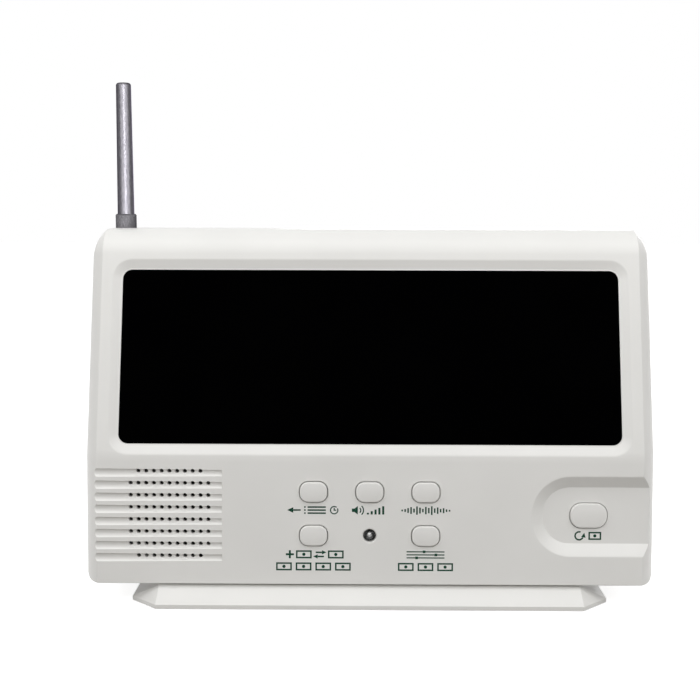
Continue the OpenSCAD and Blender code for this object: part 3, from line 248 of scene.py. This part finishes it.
# Front housing. The bent front half is moulded in the same grey ABS: rolled side edges, a shallow bevel
# round the window, grooves with sound holes on the left and an open scoop round the reset key. The
# grooves' edges stay crisp, and so does the narrow lip at the window.
grille_box = (Vector((-118, -45, 14)) * mm, Vector((-58, 0, 58.6)) * mm)
panel_foot = Vector((0, -39.6, case_foot)) * mm
panel_in = Vector(frame["joints"][0]["axis"])
crease_at = Vector((0, -36.211, 61.6)) * mm
face_lean = math.radians(14.9)
face_in = Vector((0, math.cos(face_lean), -math.sin(face_lean)))
face_deep = 0.6 * mm
front_skins = shell_skins + [(panel_foot, panel_in, face_deep), (crease_at, face_in, face_deep)]
front_edge = 0.4 * mm
finish_node(
    "front_housing", case_plastic, edge=front_edge, sharp=case_bend, skins=front_skins, spared=grille_box)

# Marks. The panel is pad-printed in dark green, below each key and in the scoop: an arrow, a call list and
# a clock; a loudspeaker and its steps; a sound wave; a plus and swapped call boxes; sliders over call boxes;
# and a turning arrow with a call box. All places and sizes are millimetres on the panel.
ink_lift = 0.03
ink_root = 0.05
panel_right = Vector((1, 0, 0))
panel_up = panel_right.cross(panel_in)


def set_shader(material, settings):
    """Values that are the same all over a material go on its shader's own sockets."""
    sockets = material.node_tree.nodes["Principled BSDF"].inputs
    for socket_name, value in settings.items():
        sockets[socket_name].default_value = value


def panel_point(x, v, deep):
    """A point on the panel: millimetres to the right, up the panel, and in from its face."""
    return panel_foot + (panel_right * x + panel_up * v + panel_in * deep) * mm


def round_the(x, v, r, angles):
    """Points at some angles, in degrees, on a circle about a middle."""
    turns = [math.radians(a) for a in angles]
    return [(x + r * math.cos(turn), v + r * math.sin(turn)) for turn in turns]


def bar(x, v, wide, tall):
    """An upright oblong about its middle."""
    left = x - wide / 2
    right = x + wide / 2
    low = v - tall / 2
    high = v + tall / 2
    return [(left, low), (right, low), (right, high), (left, high)]


def bars(x, v, table):
    """Bars of a mark, each by its place from the mark's middle, its width and its height."""
    return [bar(x + aside, v + above, wide, tall) for aside, above, wide, tall in table]


def outline_at(x, v, corners):
    """An outline drawn about a mark's middle."""
    return [(x + aside, v + above) for aside, above in corners]


def band(x, v, r, wide, start, stop, steps=24):
    """A piece of a ring, from one angle to another."""
    angles = [start + (stop - start) * i / steps for i in range(steps + 1)]
    outer = round_the(x, v, r + wide / 2, angles)
    inner = round_the(x, v, r - wide / 2, reversed(angles))
    return outer + inner


def arrow(x, v, size, heading, barb=130):
    """A three-cornered arrowhead that points along a heading."""
    return round_the(x, v, size, (heading, heading + barb, heading + 360 - barb))


def dot(x, v, r, steps=18):
    """A round spot."""
    return round_the(x, v, r, [360 * i / steps for i in range(steps)])


def made_piece(name, mesh, material):
    """A finished mesh becomes a piece of the scene, in one material."""
    data = bpy.data.meshes.new(name)
    mesh.to_mesh(data)
    mesh.free()
    data.materials.append(material)
    piece = bpy.data.objects.new(name, data)
    bpy.context.scene.collection.objects.link(piece)
    return piece


def printed(name, shapes, deep=0):
    """Ink on the panel: each outline becomes a thin closed slab, rooted just under the surface."""
    mesh = bmesh.new()
    for outline in shapes:
        low = [mesh.verts.new(panel_point(x, v, deep + ink_root)) for x, v in outline]
        high = [mesh.verts.new(panel_point(x, v, deep - ink_lift)) for x, v in outline]
        mesh.faces.new(high)
        mesh.faces.new(list(reversed(low)))
        for i in range(len(outline)):
            j = (i + 1) % len(outline)
            mesh.faces.new((low[i], low[j], high[j], high[i]))
    piece = made_piece(name, mesh, ink)
    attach(piece, "console")
    return piece


ink_light = (0.0012, 0.038, 0.019, 1)
ink_dark = (0.0025, 0.047, 0.024, 1)
ink = moulded("mark_ink", ink_light, ink_dark, gloss=(0.4, 0.55), grain=0.3 * mm, height=0.003 * mm)
set_shader(ink, {"Specular IOR Level": 0.15})
key_x = 22.8
top_marks = 30.6
low_marks = 12.4
second_marks = 7.4
line = 0.62
thin_line = 0.46
hair = 0.02
rows = (-1.25, 0, 1.25)
box_w = 6.4
box_h = 3.3
box_button = box_h / 5
box_pitch = 8


def call_box(x, v, wide=box_w):
    """A call box: a frame of four bars with its button in the middle."""
    side = (wide - line) / 2
    end = (box_h - line) / 2
    end_w = wide - 2 * line - hair
    sides = [(-side, 0, line, box_h), (side, 0, line, box_h)]
    ends = [(0, -end, end_w, line), (0, end, end_w, line)]
    return bars(x, v, sides + ends) + [dot(x, v, box_button)]


back_tip = arrow(-key_x - 9.2, top_marks, size=1.5, heading=180)
back_line = [(-6.7, 0, 3.0, line)]
list_dots = [(-3.5, row, line, line) for row in rows]
list_lines = [(1.3, row, 7.4, line) for row in rows]
call_list = bars(-key_x, top_marks, back_line + list_dots + list_lines)
clock_x = -key_x + 8.4
clock_ring = band(clock_x, top_marks, r=1.5, wide=thin_line, start=50, stop=390)
clock_hands = [(-0.23, -0.23), (0.85, -0.23), (0.85, 0.23), (0.23, 0.23), (0.23, 0.95), (-0.23, 0.95)]
clock = [clock_ring, outline_at(clock_x, top_marks, clock_hands)]
printed("review_mark", [back_tip] + call_list + clock)

horn = [(-7.2, -0.7), (-6.2, -0.7), (-4.8, -1.75), (-4.8, 1.75), (-6.2, 0.7), (-7.2, 0.7)]
horn_mouth = -4.9
sound = [band(horn_mouth, top_marks, r, thin_line, start=-48, stop=48) for r in (1.3, 2.4)]
step_h = 0.68
step_w = 0.85
step_pitch = 1.55
first_step = -0.7
step_foot = -1.7
steps_up = 5
loudness = []
for i in range(steps_up):
    tall = step_h * (i + 1)
    loudness.append((first_step + step_pitch * i, tall / 2 + step_foot, step_w, tall))
printed("volume_mark", [outline_at(0, top_marks, horn)] + sound + bars(0, top_marks, loudness))

wave = (0.7, 1.2, 2.0, 2.8, 1.6, 3.4, 2.4, 1.4, 3.0, 2.2, 3.6, 1.8, 2.6, 1.4, 2.0, 1.1, 0.7)
wave_pitch = 1.2
wave_middle = (len(wave) - 1) / 2
swings = [(wave_pitch * (i - wave_middle), 0, line, tall) for i, tall in enumerate(wave)]
printed("tone_mark", bars(key_x, top_marks, swings))

plus_arm = 1.65
plus_half = 0.4
plus_quarter = [(plus_half, plus_half), (plus_half, plus_arm), (-plus_half, plus_arm)]
plus = list(plus_quarter)
plus += [(-v, x) for x, v in plus_quarter]
plus += [(-x, -v) for x, v in plus_quarter]
plus += [(v, -x) for x, v in plus_quarter]
plus_x = -key_x - 9.6
swap_x = -key_x + 2.6
swap_apart = 0.85
swap_shift = 0.42
swap_long = 2.54
swap_reach = 1.6
swap_lines = [(-s * swap_shift, s * swap_apart, swap_long, line) for s in (-1, 1)]
swapped = bars(swap_x, low_marks, swap_lines)
for s in (-1, 1):
    swapped.append(arrow(swap_x + s * swap_reach, low_marks + s * swap_apart, size=1.1, heading=90 - s * 90))
swapped += call_box(-key_x - 3.9, low_marks)
swapped += call_box(-key_x + 9.1, low_marks)
for step in (-1.5, -0.5, 0.5, 1.5):
    swapped += call_box(-key_x + box_pitch * step, second_marks)
printed("add_mark", [outline_at(plus_x, low_marks, plus)] + swapped)

slide_half = 7.7
knob_w = 1.1
knob_h = 1.05
knobs = (-3.6, 4.2, -0.6)
slides = []
for row, knob in zip(rows, knobs):
    knob_left = knob - (knob_w + hair) / 2
    knob_right = knob + (knob_w + hair) / 2
    slides.append((knob, row, knob_w, knob_h))
    slides.append(((knob_left - slide_half) / 2, row, knob_left + slide_half, thin_line))
    slides.append(((knob_right + slide_half) / 2, row, slide_half - knob_right, thin_line))
sliders = bars(key_x, low_marks, slides)
for step in (-1, 0, 1):
    sliders += call_box(key_x + box_pitch * step, second_marks)
printed("program_mark", sliders)

reset_x = 89.3
reset_marks = 19.9
scoop_deep = 3.0
turn_x = reset_x - 3.7
turn_ring = band(turn_x, reset_marks, r=1.65, wide=line, start=70, stop=335)
turn_tip = arrow(turn_x + 1.88, reset_marks + 0.12, size=1.2, heading=80)
reset_box = call_box(reset_x + 2.7, reset_marks, wide=5.2)
printed("reset_mark", [turn_ring, turn_tip] + reset_box, scoop_deep)

# Display window. A lens of dark tinted acrylic fills the opening, on a foam gasket, ahead of four digit
# blocks on their board. The tint is so dense that it looks black while the digits are off, and the lens
# shines only when seen aslant.
lens_light = (0.0002, 0.0002, 0.0003, 1)
lens_dark = (0.0004, 0.0004, 0.0005, 1)
lens = moulded("window_acrylic", lens_light, lens_dark, gloss=(0.05, 0.09), grain=8 * mm, height=0.001 * mm)
shine_starts = 0.12
shine_full = 0.6
shine_ahead = 0.002
shine_aslant = 0.35
lens_tree = lens.node_tree
aslant = lens_tree.nodes.new("ShaderNodeLayerWeight")
shine = lens_tree.nodes.new("ShaderNodeMapRange")
shine.inputs["From Min"].default_value = shine_starts
shine.inputs["From Max"].default_value = shine_full
shine.inputs["To Min"].default_value = shine_ahead
shine.inputs["To Max"].default_value = shine_aslant
lens_surface = lens_tree.nodes["Principled BSDF"]
lens_tree.links.new(aslant.outputs["Facing"], shine.inputs["Value"])
lens_tree.links.new(shine.outputs["Result"], lens_surface.inputs["Specular IOR Level"])
finish_node("display_window", lens)
foam = moulded(
    "black_foam", (0.03, 0.03, 0.03, 1), (0.05, 0.05, 0.05, 1),
    gloss=(0.85, 0.95), grain=0.5 * mm, height=0.1 * mm)
finish_node("window_gasket", foam)
black_plastic = moulded("black_plastic", (0.02, 0.02, 0.021, 1), (0.028, 0.028, 0.03, 1))
finish_node("digit_blocks", black_plastic)
solder_mask = moulded(
    "solder_mask", (0.02, 0.13, 0.05, 1), (0.03, 0.17, 0.07, 1),
    gloss=(0.3, 0.4), grain=1.2 * mm, height=0.03 * mm)
finish_node("display_board", solder_mask)

# Keys. Five small caps and the reset cap are moulded in the case's grey, with soft edges, and each
# presses a tactile switch on the key board behind the panel.
key_plastic = moulded("key_plastic", case_grey, case_shade, gloss=(0.36, 0.44))
plunger_plastic = moulded("plunger_plastic", (0.75, 0.72, 0.62, 1), (0.70, 0.67, 0.58, 1))
for key in ("review", "volume", "tone", "add", "program", "reset"):
    finish_node(key + "_key", key_plastic)
    finish_node(key + "_plunger", plunger_plastic)
finish_node("switch_bodies", black_plastic)
finish_node("key_board", solder_mask)

# Indicator lamp. A 5 mm lamp of clear epoxy stands in a countersunk hole between the lower keys,
# on a spacer soldered to the key board. A small silvered cup shows inside it.
clear = moulded(
    "lamp_epoxy", (0.93, 0.93, 0.92, 1), (0.9, 0.9, 0.9, 1),
    gloss=(0.02, 0.05), grain=5 * mm, height=0.001 * mm)
set_shader(clear, {"Transmission Weight": 1, "IOR": 1.5})
finish_node("indicator_lamp", clear)
# The spacer is black plastic, as such spacers often are, and its black is also a painted shade that keeps
# the clear lamp dark inside.
finish_node("lamp_spacer", black_plastic)


def turned(name, outline, v, material, steps=32):
    """A piece turned about a line into the panel; its outline is radius and depth, from axis to axis."""
    mesh = bmesh.new()
    angles = [360 * i / steps for i in range(steps)]
    rings = []
    for r, deep in outline:
        spots = round_the(0, v, r, angles) if r else [(0, v)]
        rings.append([mesh.verts.new(panel_point(x, y, deep)) for x, y in spots])
    for a, b in zip(rings, rings[1:]):
        for i in range(steps):
            j = (i + 1) % steps
            corners = [a[i % len(a)], a[j % len(a)], b[j % len(b)], b[i % len(b)]]
            mesh.faces.new(list(dict.fromkeys(corners)))
    bmesh.ops.recalc_face_normals(mesh, faces=mesh.faces)
    piece = made_piece(name, mesh, material)
    shade = piece.modifiers.new("shade", "NODES")
    shade.node_group = smooth_round
    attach(piece, "console")
    return piece


silver = moulded(
    "lamp_silver", (0.75, 0.75, 0.74, 1), (0.6, 0.6, 0.6, 1),
    gloss=(0.2, 0.3), grain=0.3 * mm, height=0.002 * mm)
set_shader(silver, {"Metallic": 1})
cup_v = 19.8
cup = [(0, 4.4), (0.2, 4.4), (0.34, 3.9), (0.4, 3.9), (0.36, 4.8), (0.28, 7.9), (0, 7.9)]
turned("lamp_cup", cup, cup_v, silver)

# Speaker. A 40 mm speaker with a pressed steel frame, a paper cone and a ferrite magnet sits behind the
# grille on a foam ring, held by four clips. Its frame is black like a painted steel frame, and the black is
# also a painted shade that makes the sound holes look dark.
finish_node("speaker_gasket", foam)
# The frame's black is partly a painted shade: it darkens the sound holes in front of it.
frame_black_and_painted_shade = moulded("frame_black_and_painted_shade", (0.012, 0.012, 0.012, 1), (0.02, 0.02, 0.02, 1), gloss=(0.5, 0.65))
finish_node("speaker_frame", frame_black_and_painted_shade)
paper = moulded(
    "cone_paper", (0.03, 0.03, 0.03, 1), (0.045, 0.043, 0.04, 1),
    gloss=(0.8, 0.9), grain=0.4 * mm, height=0.05 * mm)
finish_node("speaker_cone", paper)
ferrite = moulded(
    "ferrite", (0.09, 0.09, 0.095, 1), (0.12, 0.12, 0.125, 1),
    gloss=(0.6, 0.75), grain=0.5 * mm, height=0.03 * mm)
finish_node("speaker_magnet", ferrite)
zinc = moulded(
    "zinc_steel", (0.55, 0.55, 0.56, 1), (0.62, 0.62, 0.62, 1),
    gloss=(0.3, 0.42), grain=0.6 * mm, height=0.004 * mm)
set_shader(zinc, {"Metallic": 1})
finish_node("speaker_clips", zinc)

# Antenna. A short tapered rod in satin grey stands in a matt collar on the flat top, screwed down by a
# plated stud and nut under the case. The rod's grain is drawn out along it.
rod_light = (0.16, 0.156, 0.167, 1)
rod_dark = (0.04, 0.038, 0.046, 1)
# The rod's edge tint darkens its reflection near the sides: partly a metal's own edge tint, partly a painted
# shade on its sides.
rod_edge_tint_and_painted_shade = (0.3, 0.28, 0.33, 1)
rod_gloss = (0.28, 0.4)
rod_grain = 0.45 * mm
rod_detail = 3
rod_bump = 0.05 * mm
grain_along = 0.2
rod_metal = bpy.data.materials.new("antenna_satin")
rod_metal.use_nodes = True
set_shader(rod_metal, {"Metallic": 1, "Specular Tint": rod_edge_tint_and_painted_shade})
rod_tree = rod_metal.node_tree
rod_surface = rod_tree.nodes["Principled BSDF"]
rod_place = rod_tree.nodes.new("ShaderNodeTexCoord")
stretch = rod_tree.nodes.new("ShaderNodeMapping")
stretch.inputs["Scale"].default_value = (1, 1, grain_along)
rod_tree.links.new(rod_place.outputs["Object"], stretch.inputs["Vector"])
streaks = rod_tree.nodes.new("ShaderNodeTexNoise")
streaks.inputs["Scale"].default_value = 1 / rod_grain
streaks.inputs["Detail"].default_value = rod_detail
rod_tree.links.new(stretch.outputs["Vector"], streaks.inputs["Vector"])
two_tone(rod_tree, rod_surface, streaks.outputs["Fac"], rod_dark, rod_light)
worn = rod_tree.nodes.new("ShaderNodeMapRange")
worn.inputs["To Min"].default_value = rod_gloss[0]
worn.inputs["To Max"].default_value = rod_gloss[1]
rod_tree.links.new(streaks.outputs["Fac"], worn.inputs["Value"])
rod_tree.links.new(worn.outputs["Result"], rod_surface.inputs["Roughness"])
drawn = rod_tree.nodes.new("ShaderNodeBump")
drawn.inputs["Distance"].default_value = rod_bump
rod_tree.links.new(streaks.outputs["Fac"], drawn.inputs["Height"])
rod_tree.links.new(drawn.outputs["Normal"], rod_surface.inputs["Normal"])
finish_node("antenna_sleeve", rod_metal)
collar_grey = moulded(
    "collar_matt", (0.13, 0.127, 0.135, 1), (0.03, 0.029, 0.033, 1),
    gloss=(0.5, 0.65), grain=0.5 * mm, height=0.2 * mm)
# The collar's dark edge tint is partly a painted shade on its sides, as on the rod.
set_shader(collar_grey, {"Metallic": 1, "Specular Tint": (0.1, 0.1, 0.11, 1)})
finish_node("antenna_collar", collar_grey)
finish_node("antenna_core", zinc)
plated = moulded(
    "plated_brass", (0.72, 0.53, 0.25, 1), (0.78, 0.6, 0.32, 1),
    gloss=(0.25, 0.35), grain=0.6 * mm, height=0.004 * mm)
set_shader(plated, {"Metallic": 1})
finish_node("antenna_stud", plated)
finish_node("antenna_nut", plated)
sleeve_black = moulded("lead_sleeve", (0.02, 0.02, 0.02, 1), (0.03, 0.03, 0.03, 1), gloss=(0.45, 0.55))
finish_node("antenna_lead", sleeve_black)

# Stand. A hollow sloping plate with cut corners carries the case on a low plateau, with four screws up
# into it and four rubber feet below. Each screw head has a cross recess.
stand_edge = 0.3 * mm
stand_bend = 20
finish_node("stand_plate", case_plastic, edge=stand_edge, sharp=stand_bend, clamp=True)
rubber = moulded(
    "foot_rubber", (0.035, 0.035, 0.036, 1), (0.05, 0.05, 0.05, 1),
    gloss=(0.7, 0.85), grain=0.6 * mm, height=0.05 * mm)
finish_node("rubber_feet", rubber)
recess_deep = 1.1 * mm
recess_wide = 0.75 * mm
recess_across = 3.2 * mm
head_turn = 25


def cross_recess(name, heads, axis):
    """A modifier's node group that sinks a cross recess into each screw head; the axis is 0, 1 or 2."""
    group, incoming, result = mesh_group(name)
    cross = group.nodes.new("GeometryNodeMeshBoolean")
    cross.operation = "UNION"
    cross.solver = "MANIFOLD"
    for flat in ((recess_across, recess_wide), (recess_wide, recess_across)):
        size = list(flat)
        size.insert(axis, 2 * recess_deep)
        arm = group.nodes.new("GeometryNodeMeshCube")
        arm.inputs["Size"].default_value = size
        group.links.new(arm.outputs["Mesh"], cross.inputs["Mesh 2"])
    cut = group.nodes.new("GeometryNodeMeshBoolean")
    cut.operation = "DIFFERENCE"
    cut.solver = "MANIFOLD"
    group.links.new(incoming, cut.inputs["Mesh 1"])
    for i, head in enumerate(heads):
        move = group.nodes.new("GeometryNodeTransform")
        move.inputs["Translation"].default_value = head
        angles = [0, 0, 0]
        angles[axis] = math.radians(head_turn * i)
        move.inputs["Rotation"].default_value = angles
        group.links.new(cross.outputs["Mesh"], move.inputs["Geometry"])
        group.links.new(move.outputs["Geometry"], cut.inputs["Mesh 2"])
    group.links.new(cut.outputs["Mesh"], result)
    return group


def crossed(name, heads, axis):
    """A screw node in zinc steel, with a cross recess in each head; the heads are given in millimetres."""
    recess = finish_node(name, zinc).modifiers.new("recess", "NODES")
    recess.node_group = cross_recess(name + "_recess", [Vector(head) * mm for head in heads], axis)


stand_head_z = 2
stand_screw_x = (-58, 58)
stand_screw_y = (-26.6, -6.5)
stand_heads = [(x, y, stand_head_z) for x in stand_screw_x for y in stand_screw_y]
crossed("stand_screws", stand_heads, 2)

# Fixings. The case halves are held by six self-tapping screws from behind, and the boards and speaker
# clips by small ones.
case_head_y = 10.7
side_screw_x = (-109.4, 109.4)
side_screw_z = (17, 119.46)
middle_screw_z = (14.8, 146)
case_heads = [(x, case_head_y, z) for x in side_screw_x for z in side_screw_z]
case_heads += [(0, case_head_y, z) for z in middle_screw_z]
crossed("case_screws", case_heads, 1)
finish_node("small_screws", zinc)

# Main board. The receiver's board stands on posts in the rear half, with a radio can, chips, reservoir
# capacitors and plugs, and flat cables to the display and the keys.
finish_node("main_board", solder_mask)
finish_node("radio_can", zinc)
finish_node("board_components", black_plastic)
finish_node("board_connectors", plunger_plastic)
ribbon = moulded("ribbon_grey", (0.62, 0.62, 0.61, 1), (0.7, 0.7, 0.69, 1))
finish_node("display_ribbon", ribbon)
finish_node("key_ribbon", ribbon)
lead_red = moulded("lead_red", (0.35, 0.03, 0.02, 1), (0.45, 0.05, 0.03, 1), gloss=(0.45, 0.55))
finish_node("speaker_leads", lead_red)
finish_node("power_leads", lead_red)
finish_node("battery_leads", lead_red)

# Power inlet. A black barrel socket with a steel centre pin is held through the rear wall by a nut inside.
# The pin is part of the socket's node: its faces lie close to the socket's axis.
inlet = finish_node("power_inlet", black_plastic)
inlet.data.materials.append(zinc)
inlet_axis = Vector((-70, 25.2)) * mm
pin_reach = 1.3 * mm
for face in inlet.data.polygons:
    off_axis = Vector((face.center.x, face.center.z)) - inlet_axis
    face.material_index = int(off_axis.length < pin_reach)
finish_node("inlet_nut", zinc)

# Battery bay. The door hangs on two pins along its top edge and is held by one captive screw; behind it
# lie four cells between sprung contacts. The cells have a plain blue sleeve and bare steel ends.
door_edge = 0.25 * mm
door_bend = 34
finish_node("battery_door", case_plastic, edge=door_edge, sharp=door_bend, skins=[back_skin])
door_head = (52, 22.3, 26)
crossed("door_screw", [door_head], 1)
cell_sleeve = moulded(
    "cell_sleeve", (0.05, 0.13, 0.3, 1), (0.07, 0.16, 0.34, 1),
    gloss=(0.3, 0.34), grain=3 * mm, height=0.002 * mm)
cells = finish_node("battery_cells", cell_sleeve)
cells.data.materials.append(zinc)
cell_y = 12.15
first_cell = 39.2
cell_pitch = 15.2
cell_count = 4
cell_axes = [Vector((cell_y, first_cell + cell_pitch * i)) * mm for i in range(cell_count)]
nub_reach = 4 * mm
end_facing = 0.9
for face in cells.data.polygons:
    off_axis = min((Vector((face.center.y, face.center.z)) - axis).length for axis in cell_axes)
    face.material_index = int(abs(face.normal.x) > end_facing or off_axis < nub_reach)
finish_node("battery_contacts", zinc)
finish_node("battery_springs", zinc)

# Floor and light. The console stands on a plain white table in even studio light: a dome that is bright at
# the sides and dim above, one wide lamp ahead and above, and one behind. Two more lamps light the antenna
# alone, because its bright streak and part of its dark edges come from lamps that the case doesn't show;
# the rest of the dark edges is a painted shade in the antenna's edge tint.
floor_half = 4.0
floor_corners = [(-floor_half, -floor_half, 0), (floor_half, -floor_half, 0)]
floor_corners += [(floor_half, floor_half, 0), (-floor_half, floor_half, 0)]
floor_mesh = bpy.data.meshes.new("table")
floor_mesh.from_pydata(floor_corners, [], [(0, 1, 2, 3)])
floor = bpy.data.objects.new("table", floor_mesh)
bpy.context.scene.collection.objects.link(floor)


def seen_directly(tree):
    """1 for rays that come straight from the camera, or by a mirror or through glass."""
    path = tree.nodes.new("ShaderNodeLightPath")
    first = tree.nodes.new("ShaderNodeMath")
    first.operation = "MAXIMUM"
    second = tree.nodes.new("ShaderNodeMath")
    second.operation = "MAXIMUM"
    tree.links.new(path.outputs["Is Camera Ray"], first.inputs[0])
    tree.links.new(path.outputs["Is Glossy Ray"], first.inputs[1])
    tree.links.new(first.outputs["Value"], second.inputs[0])
    tree.links.new(path.outputs["Is Transmission Ray"], second.inputs[1])
    return second.outputs["Value"]


white = (1, 1, 1, 1)
table_white = (0.93, 0.93, 0.93, 1)
table_bounce = (0.18, 0.16, 0.14, 1)
table_glow = 0.76
table_top = bpy.data.materials.new("table_top")
table_top.use_nodes = True
set_shader(table_top, {"Roughness": 0.9, "Specular IOR Level": 0, "Emission Color": white})
table_tree = table_top.node_tree
table_surface = table_tree.nodes["Principled BSDF"]
two_tone(table_tree, table_surface, seen_directly(table_tree), table_bounce, table_white)
glow = table_tree.nodes.new("ShaderNodeMath")
glow.operation = "MULTIPLY"
glow.inputs[1].default_value = table_glow
table_tree.links.new(seen_directly(table_tree), glow.inputs[0])
table_tree.links.new(glow.outputs["Value"], table_surface.inputs["Emission Strength"])
floor_mesh.materials.append(table_top)

dome_sides = 0.97
dome_above = 0.15
dome_turns = 0.1
world = bpy.data.worlds.new("studio")
bpy.context.scene.world = world
world.use_nodes = True
sky_tree = world.node_tree
way = sky_tree.nodes.new("ShaderNodeTexCoord")
way_parts = sky_tree.nodes.new("ShaderNodeSeparateXYZ")
sky_tree.links.new(way.outputs["Generated"], way_parts.inputs["Vector"])
rise = sky_tree.nodes.new("ShaderNodeMapRange")
rise.inputs["From Min"].default_value = dome_turns
rise.inputs["From Max"].default_value = 1
rise.inputs["To Min"].default_value = dome_sides
rise.inputs["To Max"].default_value = dome_above
sky_tree.links.new(way_parts.outputs["Z"], rise.inputs["Value"])
dome = sky_tree.nodes["Background"]
dome.inputs["Color"].default_value = white
sky_tree.links.new(rise.outputs["Result"], dome.inputs["Strength"])
backdrop = sky_tree.nodes.new("ShaderNodeBackground")
backdrop.inputs["Color"].default_value = white
choose = sky_tree.nodes.new("ShaderNodeMixShader")
sky_tree.links.new(seen_directly(sky_tree), choose.inputs["Fac"])
sky_tree.links.new(dome.outputs["Background"], choose.inputs[1])
sky_tree.links.new(backdrop.outputs["Background"], choose.inputs[2])
sky_tree.links.new(choose.outputs["Shader"], sky_tree.nodes["World Output"].inputs["Surface"])


def soft_lamp(name, at, aim, wide, tall, power):
    """An oblong soft lamp that the camera doesn't see."""
    lamp = bpy.data.lights.new(name, "AREA")
    lamp.shape = "RECTANGLE"
    lamp.size = wide
    lamp.size_y = tall
    lamp.energy = power
    softbox = bpy.data.objects.new(name, lamp)
    softbox.location = at
    softbox.rotation_euler = (aim - at).to_track_quat("-Z", "Y").to_euler()
    softbox.visible_camera = False
    bpy.context.scene.collection.objects.link(softbox)
    return softbox


case_aim = Vector((0.0, 0.0, 0.08))
lamp_at = Vector((-0.03, -0.27, 0.5))
soft_lamp("softbox", lamp_at, case_aim, wide=1.6, tall=0.45, power=3.35)
rod_only = bpy.data.collections.new("rod_only")
rod_only.objects.link(frame["nodes"]["antenna_sleeve"])
rod_only.objects.link(frame["nodes"]["antenna_collar"])
rod_aim = Vector((-0.106, 0, 0.19))
rod_aside = 0.21
rod_above = 0.01
rod_lamp_tall = 0.5
for lamp_name, away, wide, power in (("rod_softbox", 0.5, 1.6, 9.5), ("rod_strip", 0.45, 0.06, 2.3)):
    rod_lamp_at = rod_aim + Vector((rod_aside * away, -away, rod_above))
    rod_lamp = soft_lamp(lamp_name, rod_lamp_at, rod_aim, wide, rod_lamp_tall, power)
    rod_lamp.light_linking.receiver_collection = rod_only
rear_lamp_at = Vector((0.25, 0.8, 0.22))
soft_lamp("rear_softbox", rear_lamp_at, case_aim, wide=0.7, tall=0.35, power=1.8)

# Camera. It stands half a metre ahead of the console and a little above it, as the photograph was taken:
# the angles and the focal length were fitted to the console's edges.
camera_at = Vector((-4.634, -509.139, 164.75)) * mm
camera_down = math.radians(7.186)
camera_aside = math.radians(-0.428)
camera_roll = math.radians(0.158)
image_px = 700
focal_px = 1190.98
nearest = 0.01
sight = Vector((
    math.sin(camera_aside) * math.cos(camera_down),
    math.cos(camera_aside) * math.cos(camera_down),
    -math.sin(camera_down)))
level_right = Vector((math.cos(camera_aside), -math.sin(camera_aside), 0))
upright = level_right.cross(sight)
camera_right = level_right * math.cos(camera_roll) + upright * math.sin(camera_roll)
camera_up = upright * math.cos(camera_roll) - level_right * math.sin(camera_roll)
camera_turn = Matrix((camera_right, camera_up, -sight)).transposed().to_4x4()
eye = bpy.data.cameras.new("camera")
eye.sensor_fit = "HORIZONTAL"
eye.lens = eye.sensor_width * focal_px / image_px
eye.clip_start = nearest
camera = bpy.data.objects.new("camera", eye)
camera.matrix_world = Matrix.Translation(camera_at) @ camera_turn
bpy.context.scene.collection.objects.link(camera)
bpy.context.scene.camera = camera
bpy.context.scene.view_settings.view_transform = "Standard"
